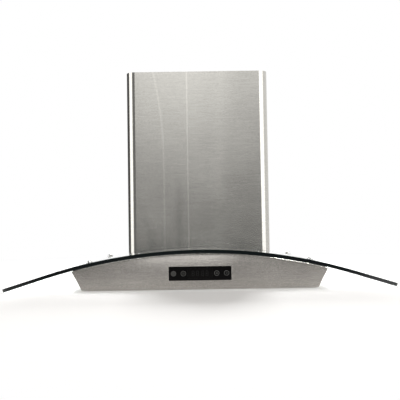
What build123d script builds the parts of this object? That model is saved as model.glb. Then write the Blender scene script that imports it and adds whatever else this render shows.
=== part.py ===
from build123d import *
from math import asin, cos, degrees, radians, sin, sqrt, tan
import os

# Curved glass range hood for a wall. Millimetres. +Z is up, +X is to the right seen from the
# front, and the front looks towards -Y. The wall is the plane Y = 0, and the origin is the middle
# of the four wall holes in the back of the blower housing.

os.makedirs("parts", exist_ok=True)

# ---------------------------------------------------------------- driving dimensions

# Clearances
SEAT_GAP = 0.1                # between pieces that are fixed to each other
REST_GAP = 0.3                # between a moving piece and what it rests on
RUNNING_GAP = 0.05            # radial, between a turning pin or shaft and its bore
SIZE_TOLERANCE = 0.01         # when an edge is told apart by its length or radius

# Overall
HOOD_WIDTH = 898.0            # glass, tip to tip
HOOD_DEPTH = 500.0            # wall to the front edge of the glass
WALL_HOLES_HEIGHT = 250.0     # middle of the wall holes above the lower rim
CHIMNEY_TOP_HEIGHT = 545.0    # top of the chimney above the lower rim

# Arched glass
GLASS_HEIGHT = 82.0           # underside of the glass above the lower rim, in the middle
GLASS_THICKNESS = 8.0
GLASS_REAR_GAP = 2.0
GLASS_CORNER_RADIUS = 16.0
GLASS_EDGE_BEVEL = 0.8
ARCH_RADIUS = 1181.0          # underside of the arched middle
WING_ANGLE = 17.2             # slope of the straight wings beside the arch
NOTCH_CORNER_RADIUS = 8.0
NOTCH_GAP = 2.0

# Body
BODY_DEPTH = 480.0
BODY_BOTTOM_WIDTH = 540.0
BODY_END_SLOPE = 28.0         # lean of the ends from upright
BODY_SHEET = 1.0
BODY_CORNER_RADIUS = 4.0
BODY_EDGE_RADIUS = 0.9
BODY_RIM_WIDTH = 15.0
DECK_SHEET = 1.2
GASKET_THICKNESS = 1.5
GASKET_INSET = 2.5
GASKET_FRONT_WIDTH = 14.0
GASKET_END_WIDTH = 49.0
LOWER_HOLES_SPACING = 400.0
LOWER_HOLES_HEIGHT = 34.0
LOWER_HOLE_RADIUS = 3.0

# Glass screws
GLASS_SCREW_INSET = 39.0      # from the upper corner of the body's end
GLASS_SCREW_FRONT_INSET = 28.0
GLASS_SCREW_REAR_INSET = 60.0
GLASS_SCREW_RADIUS = 2.5
GLASS_SCREW_HEAD_RADIUS = 6.0
GLASS_SCREW_HEAD_HEIGHT = 4.5
GLASS_HOLE_RADIUS = 4.5
GLASS_WASHER_RADIUS = 8.0
GLASS_WASHER_THICKNESS = 1.2
WELD_NUT_RADIUS = 5.0
WELD_NUT_HEIGHT = 4.0

# Frame that carries the filters and lamps, inside the lower rim
RECESS = 14.0                 # underside of the frame above the lower rim
FRAME_SHEET = 1.2
LIGHT_PANEL_DEPTH = 88.0      # from the front of the body
REAR_RAIL_DEPTH = 42.0        # from the wall
SIDE_RAIL_REACH = 12.0        # how far each rail reaches under a filter
CENTRE_RAIL_WIDTH = 24.0
CENTRE_RIB_THICKNESS = 2.0
CENTRE_RIB_HEIGHT = 6.0
STOP_RIB_HEIGHT = 6.0

# Filters
FILTER_END_MARGIN = 8.0       # from the lower corner of the body
FILTER_THICKNESS = 12.0
FILTER_OVERLAP = 10.0         # of the filter's front and rear edge over the frame
FILTER_SIDE_GAP = 1.0
FILTER_SHEET = 1.0
FILTER_LIP = 14.0
BAFFLE_SHEET = 0.8
BAFFLE_WIDTH = 24.0
BAFFLE_PITCH = 36.0
BAFFLE_HEIGHT = 4.5
BAFFLE_END_GAP = 1.5
HANDLE_ROD_RADIUS = 2.5
HANDLE_LENGTH = 70.0
HANDLE_DROP = 10.0
HANDLE_BEND = 6.0
HANDLE_PLATE_LENGTH = 96.0
HANDLE_PLATE_WIDTH = 16.0
HANDLE_PLATE_THICKNESS = 1.5
HANDLE_PLATE_CORNER = 5.0
HANDLE_FROM_FRONT = 36.0

# Lamps
LAMP_END_MARGIN = 90.0        # from the lower corner of the body
LAMP_FRONT_MARGIN = 45.0      # from the front of the body
LAMP_FLANGE_RADIUS = 32.0
LAMP_FLANGE_THICKNESS = 1.5
LAMP_TUBE_RADIUS = 27.0
LAMP_TUBE_WALL = 1.6
LAMP_TUBE_HEIGHT = 12.0
LAMP_LENS_THICKNESS = 2.0
LAMP_SINK_RADIUS = 29.0
LAMP_SINK_HEIGHT = 12.0
LAMP_SINK_PLATE = 4.0
LAMP_FIN_THICKNESS = 1.6
LAMP_FIN_PITCH = 6.0

# Controls
PANEL_WIDTH = 143.0
PANEL_HEIGHT = 32.0
PANEL_CENTRE_HEIGHT = 35.5
PANEL_THICKNESS = 2.5
PANEL_PROUD = 0.6
BEZEL_LIP = 2.0
BEZEL_THICKNESS = 1.2
BEZEL_SKIRT = 1.0
BEZEL_SKIRT_DEPTH = 4.0
BUTTON_RADIUS = 6.2
BUTTON_GAP = 0.15
BUTTON_PROUD = 0.5
BUTTON_FLANGE_RADIUS = 7.4
BUTTON_FLANGE_THICKNESS = 1.0
BUTTON_TRAVEL = 1.0
BUTTON_OUTER_X = 60.5
BUTTON_INNER_X = 38.0
DISPLAY_WIDTH = 56.0
DISPLAY_HEIGHT = 24.0
DISPLAY_THICKNESS = 1.6
CONTROL_BOX_WALL = 1.5
CONTROL_BOX_DEPTH = 26.0
CONTROL_BOX_MARGIN = 2.5
BOARD_THICKNESS = 1.6
BOARD_DEPTH = 9.0             # front face of the board behind the front sheet
BOARD_MARGIN = 2.0
BOARD_POST_RADIUS = 2.5
SWITCH_SIZE = 6.0

# Blower housing
HOUSING_WIDTH = 300.0
HOUSING_DEPTH = 250.0
HOUSING_TOP_HEIGHT = 390.0
HOUSING_SHEET = 1.2
HOUSING_FLANGE = 14.0
DECK_LEDGE = 5.0              # deck inside the housing's walls
DECK_REAR_STRIP = 20.0
WALL_HOLES_SPACING_X = 240.0
WALL_HOLES_SPACING_Z = 180.0
WALL_HOLE_RADIUS = 4.5
SCREW_RADIUS = 2.0
SCREW_HEAD_RADIUS = 3.6
SCREW_HEAD_HEIGHT = 2.4
SCREW_LENGTH = 8.0
DECK_SCREW_REAR_Y = -60.0
DECK_SCREW_SIDE_Y = -190.0
DECK_SCREW_FRONT_X = 90.0

# Blower
FAN_SIDE_DISTANCE = 96.0      # shaft to the left side of the housing
FAN_DROP = 165.0              # shaft below the top of the housing
FAN_WALL_DISTANCE = 125.0     # middle of the fan to the wall
SCROLL_WIDTH = 96.0
SCROLL_WALL = 1.5
SCROLL_START_RADIUS = 81.0
SCROLL_END_RADIUS = 110.0
SCROLL_START_ANGLE = 70.0
SCROLL_STEP = 29.0
OUTLET_RIM = 8.0
OUTLET_RIM_THICKNESS = 2.0
INLET_RADIUS = 60.0
INLET_RING_WIDTH = 12.0
INLET_RING_THICKNESS = 2.0
INLET_LIP_WALL = 1.5
INLET_LIP_DEPTH = 5.0
IMPELLER_RADIUS = 75.0
IMPELLER_WIDTH = 80.0
IMPELLER_PLATE = 2.0
IMPELLER_RING_WIDTH = 11.0
BLADE_COUNT = 36
BLADE_LENGTH = 12.0
BLADE_THICKNESS = 1.0
BLADE_ANGLE = 30.0
BLADE_MID_RADIUS = 68.0
HUB_RADIUS = 11.0
HUB_LENGTH = 20.0
SHAFT_RADIUS = 4.0
SHAFT_IN_MOTOR = 40.0
SHAFT_TIP = 2.0
MOTOR_RADIUS = 46.0
MOTOR_LENGTH = 52.0
MOTOR_CAP_RADIUS = 34.0
MOTOR_CAP_LENGTH = 8.0
MOTOR_EDGE_RADIUS = 4.0
SPIDER_THICKNESS = 2.0
SPIDER_HUB_RADIUS = 30.0
SPIDER_BORE_RADIUS = 12.0
SPIDER_ARM_WIDTH = 16.0
MOTOR_SCREW_CIRCLE = 55.0
GROMMET_RADIUS = 7.0
GROMMET_HEIGHT = 6.0
CAPACITOR_RADIUS = 15.0
CAPACITOR_LENGTH = 55.0
CAPACITOR_DROP = 240.0        # its lower end below the top of the housing
CAPACITOR_WALL_DISTANCE = 40.0
TERMINAL_SIZE = 5.0

# Wiring box and cable gland
WIRING_BOX_WIDTH = 50.0
WIRING_BOX_DEPTH = 100.0
WIRING_BOX_HEIGHT = 40.0
WIRING_BOX_WALL = 1.5
WIRING_BOX_GAP = 10.0         # from the flange of the duct collar
WIRING_BOX_FORWARD = 40.0     # in front of the middle of the collar
WIRING_LID_THICKNESS = 2.0
GLAND_CABLE_RADIUS = 4.5
GLAND_STEM_RADIUS = 7.0
GLAND_STEM_LENGTH = 8.0
GLAND_FLANGE_RADIUS = 11.0
GLAND_FLANGE_HEIGHT = 5.0
GLAND_NUT_RADIUS = 9.0
GLAND_NUT_HEIGHT = 12.0
GLAND_NUT_ROUND = 3.0

# Duct collar and flaps
COLLAR_FLANGE_SIZE = 170.0
COLLAR_FLANGE_THICKNESS = 2.0
COLLAR_CORNER_RADIUS = 8.0
COLLAR_SCREW_INSET = 8.0
COLLAR_RADIUS = 75.0
COLLAR_WALL = 2.0
COLLAR_HEIGHT = 80.0
FLAP_PIN_RADIUS = 1.25
FLAP_PIN_X = 5.0
FLAP_PIN_HEIGHT = 10.0
FLAP_PIN_INSET = 0.7
FLAP_THICKNESS = 1.5
FLAP_RIM_GAP = 1.4
FLAP_KNUCKLE_RADIUS = 2.6
FLAP_KNUCKLE_END = 13.0
FLAP_PLATE_OVERLAP = 0.75     # of the plate over its knuckle
FLAP_SEAT_WIDTH = 4.0
FLAP_SEAT_THICKNESS = 2.0

# Chimney
CHIMNEY_SIDE_GAP = 33.0       # outside of the chimney to the blower housing
CHIMNEY_FRONT_GAP = 30.0
CHIMNEY_SHEET = 1.0
CHIMNEY_CORNER_RADIUS = 22.0
CHIMNEY_RETURN = 15.0
CHIMNEY_SLIDE_GAP = 0.6
UPPER_CHIMNEY_DROP = 2.0      # top of the upper chimney below the top of the lower one, at rest
CLIP_BOTTOM_HEIGHT = 104.0
CLIP_HEIGHT = 30.0
CLIP_SHEET = 1.2
CLIP_FRONT_INSET = 15.0       # from the front of the blower housing
CLIP_REAR_Y = -40.0
CLIP_SCREW_INSET = 25.0
BRACKET_SHEET = 1.5
BRACKET_HEIGHT = 25.0
BRACKET_DROP = 15.0
BRACKET_PLATE_GAP = 6.4       # to the rear return of the upper chimney
BRACKET_JOG = 4.5
BRACKET_ARM = 60.0
BRACKET_SLOT_SPACING = 200.0
BRACKET_SLOT_LENGTH = 20.0
BRACKET_SLOT_RADIUS = 3.0

# ---------------------------------------------------------------- levels worked out from them

BOTTOM = -WALL_HOLES_HEIGHT
GLASS_APEX = BOTTOM + GLASS_HEIGHT
ARCH_CENTRE = GLASS_APEX - ARCH_RADIUS
SLOPE = radians(BODY_END_SLOPE)
WING = radians(WING_ANGLE)
FRONT = -BODY_DEPTH
FRAME_BOTTOM = BOTTOM + RECESS
FRAME_TOP = FRAME_BOTTOM + FRAME_SHEET
LIGHT_PANEL_REAR = FRONT + LIGHT_PANEL_DEPTH
REAR_RAIL_FRONT = -REAR_RAIL_DEPTH
FILTER_BOTTOM = FRAME_TOP + REST_GAP
FILTER_FRONT = LIGHT_PANEL_REAR - FILTER_OVERLAP
FILTER_REAR = REAR_RAIL_FRONT + FILTER_OVERLAP
FILTER_DEPTH = FILTER_REAR - FILTER_FRONT
FILTER_INNER_X = CENTRE_RIB_THICKNESS / 2 + FILTER_SIDE_GAP
FILTER_OUTER_X = BODY_BOTTOM_WIDTH / 2 - FILTER_END_MARGIN
FILTER_WIDTH = FILTER_OUTER_X - FILTER_INNER_X
FILTER_X = (FILTER_INNER_X + FILTER_OUTER_X) / 2
RIM_TOP = BOTTOM + BODY_SHEET
DECK_TOP_LIFT = -GASKET_THICKNESS
HOUSING_TOP = BOTTOM + HOUSING_TOP_HEIGHT
HOUSING_FRONT = -HOUSING_DEPTH
HOUSING_CEILING = HOUSING_TOP - HOUSING_SHEET
FLANGE_LIFT = DECK_TOP_LIFT + SEAT_GAP
FLANGE_HALF_WIDTH = HOUSING_WIDTH / 2 + HOUSING_FLANGE
FLANGE_FRONT = HOUSING_FRONT - HOUSING_FLANGE
FAN_X = FAN_SIDE_DISTANCE - HOUSING_WIDTH / 2
FAN_Y = -FAN_WALL_DISTANCE
FAN_Z = HOUSING_TOP - FAN_DROP
SCROLL_FRONT = FAN_Y - SCROLL_WIDTH / 2
SCROLL_REAR = FAN_Y + SCROLL_WIDTH / 2
COLLAR_Y = FAN_Y
COLLAR_BASE = HOUSING_TOP + SEAT_GAP
COLLAR_FLANGE_TOP = COLLAR_BASE + COLLAR_FLANGE_THICKNESS
COLLAR_TOP = COLLAR_FLANGE_TOP + COLLAR_HEIGHT
COLLAR_BORE = COLLAR_RADIUS - COLLAR_WALL
FLAP_PIN_Z = COLLAR_FLANGE_TOP + FLAP_PIN_HEIGHT
CHIMNEY_WIDTH = HOUSING_WIDTH + 2 * CHIMNEY_SIDE_GAP
CHIMNEY_FRONT = HOUSING_FRONT - CHIMNEY_FRONT_GAP
CHIMNEY_TOP = BOTTOM + CHIMNEY_TOP_HEIGHT
CHIMNEY_LIFT = GLASS_THICKNESS + REST_GAP
CLIP_BOTTOM = BOTTOM + CLIP_BOTTOM_HEIGHT
CLIP_TOP = CLIP_BOTTOM + CLIP_HEIGHT
CLIP_FRONT_Y = HOUSING_FRONT + CLIP_FRONT_INSET
PANEL_Z = BOTTOM + PANEL_CENTRE_HEIGHT


# ---------------------------------------------------------------- shared shapes

SIDES = {"left": -1, "right": 1}


def at_depth(y):
    """Upright plane facing the front, at the given Y."""
    return Plane.XZ.offset(-y)


def block(x_range, y_range, z_range, mode=Mode.ADD):
    """Rectangular block between the given limits, in the part being built."""
    centre = (sum(x_range) / 2, sum(y_range) / 2)
    with BuildSketch(Plane.XY.offset(z_range[0]), mode=Mode.PRIVATE) as base:
        with Locations(centre):
            Rectangle(x_range[1] - x_range[0], y_range[1] - y_range[0])
    extrude(base.sketch, amount=z_range[1] - z_range[0], mode=mode)


def body_half_width(z, inset=0.0):
    """Half the width of the body at height z, inside a skin of the given thickness."""
    return BODY_BOTTOM_WIDTH / 2 + (z - BOTTOM) * tan(SLOPE) - inset / cos(SLOPE)


def body_top_half_width():
    """Half the width of the body where its leaning ends meet the arch of the deck."""
    run = BOTTOM - ARCH_CENTRE
    half = BODY_BOTTOM_WIDTH / 2
    lean = tan(SLOPE)
    radius = ARCH_RADIUS + DECK_TOP_LIFT
    middle = run + half * lean
    root = sqrt(middle ** 2 - (1 + lean ** 2) * (run ** 2 + half ** 2 - radius ** 2))
    return half + lean * (root - middle) / (1 + lean ** 2)


def body_outline(inset, floor, roof_lift, corner):
    """Front outline of the body inside a skin, from floor up to the arch."""
    low = body_half_width(floor, inset)
    high = body_half_width(GLASS_APEX, inset)
    with BuildSketch(mode=Mode.PRIVATE) as outline:
        with BuildLine():
            Polyline((-low, floor), (low, floor), (high, GLASS_APEX), (-high, GLASS_APEX), close=True)
        make_face()
        fillet(outline.vertices().group_by(Axis.Y)[0], corner)
        with Locations((0, ARCH_CENTRE)):
            Circle(ARCH_RADIUS + roof_lift, mode=Mode.INTERSECT)
    return outline.sketch


def arch_strip(low_lift, high_lift, half_width):
    """Front outline of a sheet that follows the arch, cut upright at both ends."""
    with BuildSketch(mode=Mode.PRIVATE) as strip:
        with Locations((0, ARCH_CENTRE)):
            Circle(ARCH_RADIUS + high_lift)
            Circle(ARCH_RADIUS + low_lift, mode=Mode.SUBTRACT)
        with Locations((0, GLASS_APEX)):
            Rectangle(2 * half_width, ARCH_RADIUS, mode=Mode.INTERSECT)
    return strip.sketch


def plan_with_round_front(half_width, front, rear, corner):
    """Plan of a box whose two front corners are rounded."""
    with BuildSketch(mode=Mode.PRIVATE) as plan:
        with Locations((0, (front + rear) / 2)):
            Rectangle(2 * half_width, rear - front)
        fillet(plan.vertices().group_by(Axis.Y)[0], corner)
    return plan.sketch


def glass_plane(x, y, lift):
    """Plane square to the arch over x on its underside, lifted along its normal."""
    lean = asin(x / ARCH_RADIUS)
    radius = ARCH_RADIUS + lift
    centre = (radius * sin(lean), y, ARCH_CENTRE + radius * cos(lean))
    return Plane(origin=centre, x_dir=(0, 1, 0), z_dir=(sin(lean), 0, cos(lean)))


def finish(builder, name):
    """Label a finished piece and write it."""
    builder.part.label = name
    export_step(builder.part, f"parts/{name}.step")


# ---------------------------------------------------------------- body

RIM_HALF_WIDTH = BODY_BOTTOM_WIDTH / 2 - BODY_RIM_WIDTH
CUTOUT_WIDTH = PANEL_WIDTH + 2 * BEZEL_SKIRT + 2 * SEAT_GAP
CUTOUT_HEIGHT = PANEL_HEIGHT + 2 * BEZEL_SKIRT + 2 * SEAT_GAP

with BuildPart() as hood_shell:
    with BuildSketch(Plane.XZ):
        add(body_outline(0, BOTTOM, DECK_TOP_LIFT, BODY_CORNER_RADIUS))
    extrude(amount=BODY_DEPTH)
    fillet(hood_shell.faces().sort_by(Axis.Y)[0].edges(), BODY_EDGE_RADIUS)
    with BuildSketch(Plane.XZ):
        add(body_outline(BODY_SHEET, RIM_TOP, GASKET_THICKNESS, BODY_CORNER_RADIUS - BODY_SHEET))
    extrude(amount=BODY_DEPTH - BODY_SHEET, mode=Mode.SUBTRACT)
    block((-RIM_HALF_WIDTH, RIM_HALF_WIDTH), (FRONT + BODY_RIM_WIDTH, 0), (BOTTOM, RIM_TOP), Mode.SUBTRACT)
    with BuildSketch(at_depth(FRONT + BODY_SHEET)):
        with Locations((0, PANEL_Z)):
            Rectangle(CUTOUT_WIDTH, CUTOUT_HEIGHT)
    extrude(amount=BODY_SHEET, mode=Mode.SUBTRACT)
finish(hood_shell, "hood_shell")

DECK_INSET = BODY_SHEET + SEAT_GAP
DECK_UNDERSIDE_LIFT = DECK_TOP_LIFT - DECK_SHEET
OPENING_HALF_WIDTH = HOUSING_WIDTH / 2 - DECK_LEDGE
OPENING_FRONT = HOUSING_FRONT + DECK_LEDGE
SCREW_X = body_top_half_width() - GLASS_SCREW_INSET
GLASS_SCREW_SPOTS = [
    (side * SCREW_X, y)
    for side in SIDES.values()
    for y in (FRONT + GLASS_SCREW_FRONT_INSET, -GLASS_SCREW_REAR_INSET)
]
FLANGE_SCREW_X = HOUSING_WIDTH / 2 + HOUSING_FLANGE / 2
FLANGE_SCREW_Y = HOUSING_FRONT - HOUSING_FLANGE / 2
DECK_SCREW_SPOTS = [
    (side * x, y)
    for side in (-1, 1)
    for x, y in (
        (FLANGE_SCREW_X, DECK_SCREW_REAR_Y),
        (FLANGE_SCREW_X, DECK_SCREW_SIDE_Y),
        (DECK_SCREW_FRONT_X, FLANGE_SCREW_Y),
    )
]

with BuildPart() as top_deck:
    with BuildSketch(Plane.XZ):
        add(arch_strip(DECK_UNDERSIDE_LIFT, DECK_TOP_LIFT, BODY_BOTTOM_WIDTH))
        add(body_outline(DECK_INSET, RIM_TOP, GASKET_THICKNESS, BODY_CORNER_RADIUS), mode=Mode.INTERSECT)
    extrude(amount=BODY_DEPTH - DECK_INSET)
    block((-OPENING_HALF_WIDTH, OPENING_HALF_WIDTH), (OPENING_FRONT, -DECK_REAR_STRIP),
          (BOTTOM, GLASS_APEX), Mode.SUBTRACT)
    with Locations([glass_plane(x, y, DECK_TOP_LIFT - DECK_SHEET / 2) for x, y in GLASS_SCREW_SPOTS]):
        Cylinder(WELD_NUT_RADIUS, WELD_NUT_HEIGHT + DECK_SHEET / 2,
                 align=(Align.CENTER, Align.CENTER, Align.MAX))
    with Locations([glass_plane(x, y, 0) for x, y in GLASS_SCREW_SPOTS]):
        Hole(GLASS_SCREW_RADIUS + RUNNING_GAP, depth=2 * (WELD_NUT_HEIGHT + DECK_SHEET + GASKET_THICKNESS))
    with Locations([glass_plane(x, y, 0) for x, y in DECK_SCREW_SPOTS]):
        Hole(SCREW_RADIUS + RUNNING_GAP, depth=2 * (DECK_SHEET + GASKET_THICKNESS))
finish(top_deck, "top_deck")

REAR_PANEL_FLOOR = RIM_TOP
REAR_FLANGE_TOP = REAR_PANEL_FLOOR + BODY_SHEET
LOWER_HOLES_Z = BOTTOM + LOWER_HOLES_HEIGHT
LOWER_HOLE_SPOTS = [(side * LOWER_HOLES_SPACING / 2, LOWER_HOLES_Z) for side in (-1, 1)]

with BuildPart() as rear_panel:
    with BuildSketch(Plane.XZ):
        add(body_outline(DECK_INSET, REAR_PANEL_FLOOR, DECK_UNDERSIDE_LIFT - SEAT_GAP, BODY_CORNER_RADIUS))
        with Locations(LOWER_HOLE_SPOTS):
            Circle(LOWER_HOLE_RADIUS, mode=Mode.SUBTRACT)
    extrude(amount=BODY_SHEET)
    block((-RIM_HALF_WIDTH, RIM_HALF_WIDTH), (-BODY_RIM_WIDTH, 0), (REAR_PANEL_FLOOR, REAR_FLANGE_TOP))
finish(rear_panel, "rear_panel")

# ---------------------------------------------------------------- frame for the filters and lamps

FRAME_HALF_WIDTH = body_half_width(FRAME_BOTTOM, DECK_INSET)
LAMP_X = BODY_BOTTOM_WIDTH / 2 - LAMP_END_MARGIN
LAMP_SPOTS = {name: (side * LAMP_X, FRONT + LAMP_FRONT_MARGIN) for name, side in SIDES.items()}
PANEL_FRONT = FRONT + BODY_SHEET + SEAT_GAP
STOP_RIB_REAR = FILTER_FRONT - FILTER_SIDE_GAP

with BuildPart() as light_panel:
    block((-FRAME_HALF_WIDTH, FRAME_HALF_WIDTH), (PANEL_FRONT, LIGHT_PANEL_REAR), (FRAME_BOTTOM, FRAME_TOP))
    block((-RIM_HALF_WIDTH, RIM_HALF_WIDTH), (PANEL_FRONT, PANEL_FRONT + FRAME_SHEET),
          (RIM_TOP, FRAME_BOTTOM))
    block((-RIM_HALF_WIDTH, RIM_HALF_WIDTH), (STOP_RIB_REAR - FRAME_SHEET, STOP_RIB_REAR),
          (FRAME_TOP, FRAME_TOP + STOP_RIB_HEIGHT))
    with BuildSketch(Plane.XY.offset(FRAME_BOTTOM)):
        with Locations(list(LAMP_SPOTS.values())):
            Circle(LAMP_TUBE_RADIUS + SEAT_GAP)
    extrude(amount=FRAME_SHEET, mode=Mode.SUBTRACT)
finish(light_panel, "light_panel")

with BuildPart() as rear_rail:
    block((-FRAME_HALF_WIDTH, FRAME_HALF_WIDTH), (REAR_RAIL_FRONT, -BODY_SHEET), (FRAME_BOTTOM, FRAME_TOP))
    block((-RIM_HALF_WIDTH, RIM_HALF_WIDTH), (-BODY_SHEET - FRAME_SHEET, -BODY_SHEET),
          (REAR_FLANGE_TOP, FRAME_BOTTOM))
finish(rear_rail, "rear_rail")

SIDE_RAIL_INNER = FILTER_OUTER_X - SIDE_RAIL_REACH
SIDE_LIP_OUTER = body_half_width(RIM_TOP, DECK_INSET) - BODY_CORNER_RADIUS
SIDE_RAIL_LENGTH = (LIGHT_PANEL_REAR, REAR_RAIL_FRONT)

for name, side in SIDES.items():
    with BuildPart() as side_rail:
        block(sorted((side * SIDE_RAIL_INNER, side * FRAME_HALF_WIDTH)), SIDE_RAIL_LENGTH,
              (FRAME_BOTTOM, FRAME_TOP))
        block(sorted((side * (SIDE_LIP_OUTER - FRAME_SHEET), side * SIDE_LIP_OUTER)), SIDE_RAIL_LENGTH,
              (RIM_TOP, FRAME_BOTTOM))
    finish(side_rail, f"side_rail_{name}")

with BuildPart() as centre_rail:
    block((-CENTRE_RAIL_WIDTH / 2, CENTRE_RAIL_WIDTH / 2), SIDE_RAIL_LENGTH, (FRAME_BOTTOM, FRAME_TOP))
    block((-CENTRE_RIB_THICKNESS / 2, CENTRE_RIB_THICKNESS / 2), SIDE_RAIL_LENGTH,
          (FRAME_TOP, FRAME_TOP + CENTRE_RIB_HEIGHT))
finish(centre_rail, "centre_rail")

# ---------------------------------------------------------------- glass

NOTCH_HALF_WIDTH = FLANGE_HALF_WIDTH + NOTCH_GAP
NOTCH_FRONT = FLANGE_FRONT - NOTCH_GAP


def wing_start(lift):
    """Where the arch runs out into the straight wing, at the given lift."""
    radius = ARCH_RADIUS + lift
    return radius * sin(WING), ARCH_CENTRE + radius * cos(WING)


WING_TIP_X = HOOD_WIDTH / 2
WING_TOP_X, WING_TOP_Z = wing_start(GLASS_THICKNESS)
WING_LOW_X, WING_LOW_Z = wing_start(0)
WING_TIP_Z = WING_TOP_Z - (WING_TIP_X - WING_TOP_X) * tan(WING)
WING_TIP_LOW = (WING_TIP_X - GLASS_THICKNESS * sin(WING), WING_TIP_Z - GLASS_THICKNESS * cos(WING))

with BuildPart() as glass_canopy:
    with BuildSketch(at_depth(-GLASS_REAR_GAP)):
        with BuildLine():
            ThreePointArc((-WING_TOP_X, WING_TOP_Z), (0, GLASS_APEX + GLASS_THICKNESS),
                          (WING_TOP_X, WING_TOP_Z))
            Line((WING_TOP_X, WING_TOP_Z), (WING_TIP_X, WING_TIP_Z))
            Line((WING_TIP_X, WING_TIP_Z), WING_TIP_LOW)
            Line(WING_TIP_LOW, (WING_LOW_X, WING_LOW_Z))
            ThreePointArc((WING_LOW_X, WING_LOW_Z), (0, GLASS_APEX), (-WING_LOW_X, WING_LOW_Z))
            Line((-WING_LOW_X, WING_LOW_Z), (-WING_TIP_LOW[0], WING_TIP_LOW[1]))
            Line((-WING_TIP_LOW[0], WING_TIP_LOW[1]), (-WING_TIP_X, WING_TIP_Z))
            Line((-WING_TIP_X, WING_TIP_Z), (-WING_TOP_X, WING_TOP_Z))
        make_face()
    extrude(amount=HOOD_DEPTH - GLASS_REAR_GAP)
    front_corners = glass_canopy.edges().filter_by(
        lambda edge: abs(edge.length - GLASS_THICKNESS) < SIZE_TOLERANCE)
    fillet(front_corners.group_by(Axis.Y)[0], GLASS_CORNER_RADIUS)
    front_edges = glass_canopy.faces().sort_by(Axis.Y)[0].edges()
    chamfer(front_edges.filter_by(lambda edge: edge.length > HOOD_WIDTH / 2), GLASS_EDGE_BEVEL)
    with BuildSketch(Plane.XY.offset(BOTTOM)):
        add(plan_with_round_front(NOTCH_HALF_WIDTH, NOTCH_FRONT, 0, NOTCH_CORNER_RADIUS))
    extrude(amount=2 * GLASS_HEIGHT, mode=Mode.SUBTRACT)
    with Locations([glass_plane(x, y, 0) for x, y in GLASS_SCREW_SPOTS]):
        Hole(GLASS_HOLE_RADIUS, depth=2 * GLASS_THICKNESS)
finish(glass_canopy, "glass_canopy")

GASKET_INNER_X = body_top_half_width() - GASKET_END_WIDTH
GASKET_OUTER_INSET = GASKET_INSET + BODY_SHEET

with BuildPart() as glass_gasket:
    with BuildSketch(at_depth(-GASKET_INSET)):
        add(arch_strip(DECK_TOP_LIFT + SEAT_GAP, -SEAT_GAP, BODY_BOTTOM_WIDTH))
        add(body_outline(GASKET_OUTER_INSET, RIM_TOP, GASKET_THICKNESS, BODY_CORNER_RADIUS),
            mode=Mode.INTERSECT)
    extrude(amount=BODY_DEPTH - 2 * GASKET_INSET)
    block((-GASKET_INNER_X, GASKET_INNER_X), (FRONT + GASKET_INSET + GASKET_FRONT_WIDTH, 0),
          (BOTTOM, GLASS_APEX), Mode.SUBTRACT)
    with Locations([glass_plane(x, y, 0) for x, y in GLASS_SCREW_SPOTS]):
        Hole(GLASS_HOLE_RADIUS, depth=2 * GASKET_THICKNESS)
finish(glass_gasket, "glass_gasket")

WASHER_LIFT = GLASS_THICKNESS + SEAT_GAP
SCREW_HEAD_LIFT = WASHER_LIFT + GLASS_WASHER_THICKNESS
GLASS_SCREW_REACH = SCREW_HEAD_LIFT + GASKET_THICKNESS + DECK_SHEET + WELD_NUT_HEIGHT

with BuildPart() as glass_washers:
    with Locations([glass_plane(x, y, WASHER_LIFT) for x, y in GLASS_SCREW_SPOTS]):
        Cylinder(GLASS_WASHER_RADIUS, GLASS_WASHER_THICKNESS, align=(Align.CENTER, Align.CENTER, Align.MIN))
        Cylinder(GLASS_SCREW_RADIUS + SEAT_GAP, 2 * GLASS_WASHER_THICKNESS, mode=Mode.SUBTRACT)
finish(glass_washers, "glass_washers")

with BuildPart() as glass_screws:
    with Locations([glass_plane(x, y, SCREW_HEAD_LIFT) for x, y in GLASS_SCREW_SPOTS]):
        Cylinder(GLASS_SCREW_HEAD_RADIUS, GLASS_SCREW_HEAD_HEIGHT,
                 align=(Align.CENTER, Align.CENTER, Align.MIN))
        Cylinder(GLASS_SCREW_RADIUS, GLASS_SCREW_REACH, align=(Align.CENTER, Align.CENTER, Align.MAX))
    head_edges = glass_screws.edges().filter_by(GeomType.CIRCLE).filter_by(
        lambda edge: abs(edge.radius - GLASS_SCREW_HEAD_RADIUS) < SIZE_TOLERANCE)
    for rims in (head_edges.filter_by(lambda edge: edge.center().X < 0),
                 head_edges.filter_by(lambda edge: edge.center().X > 0)):
        fillet(rims.sort_by(Axis.Z)[-2:], GLASS_SCREW_HEAD_HEIGHT / 2)
finish(glass_screws, "glass_screws")

# ---------------------------------------------------------------- controls on the front panel

PANEL_FACE = FRONT - PANEL_PROUD
PANEL_BACK = PANEL_FACE + PANEL_THICKNESS
BUTTON_X = {
    "power": -BUTTON_OUTER_X,
    "timer": -BUTTON_INNER_X,
    "speed": BUTTON_INNER_X,
    "light": BUTTON_OUTER_X,
}
PANEL_FIT_WIDTH = PANEL_WIDTH - 2 * SEAT_GAP
PANEL_FIT_HEIGHT = PANEL_HEIGHT - 2 * SEAT_GAP
BOX_OUTER_WIDTH = CUTOUT_WIDTH + 2 * CONTROL_BOX_MARGIN
BOX_OUTER_HEIGHT = CUTOUT_HEIGHT + 2 * CONTROL_BOX_MARGIN
BOX_FRONT = FRONT + BODY_SHEET + SEAT_GAP
BOX_BACK = BOX_FRONT + CONTROL_BOX_DEPTH
BOARD_FRONT = FRONT + BOARD_DEPTH
BOARD_BACK = BOARD_FRONT + BOARD_THICKNESS
BUTTON_FLANGE_FRONT = PANEL_BACK + REST_GAP
SWITCH_FRONT = BUTTON_FLANGE_FRONT + BUTTON_FLANGE_THICKNESS + BUTTON_TRAVEL + REST_GAP


def panel_plane(y):
    """Upright plane facing the front, centred on the control panel."""
    return Plane(origin=(0, y, PANEL_Z), x_dir=(1, 0, 0), z_dir=(0, -1, 0))


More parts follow.
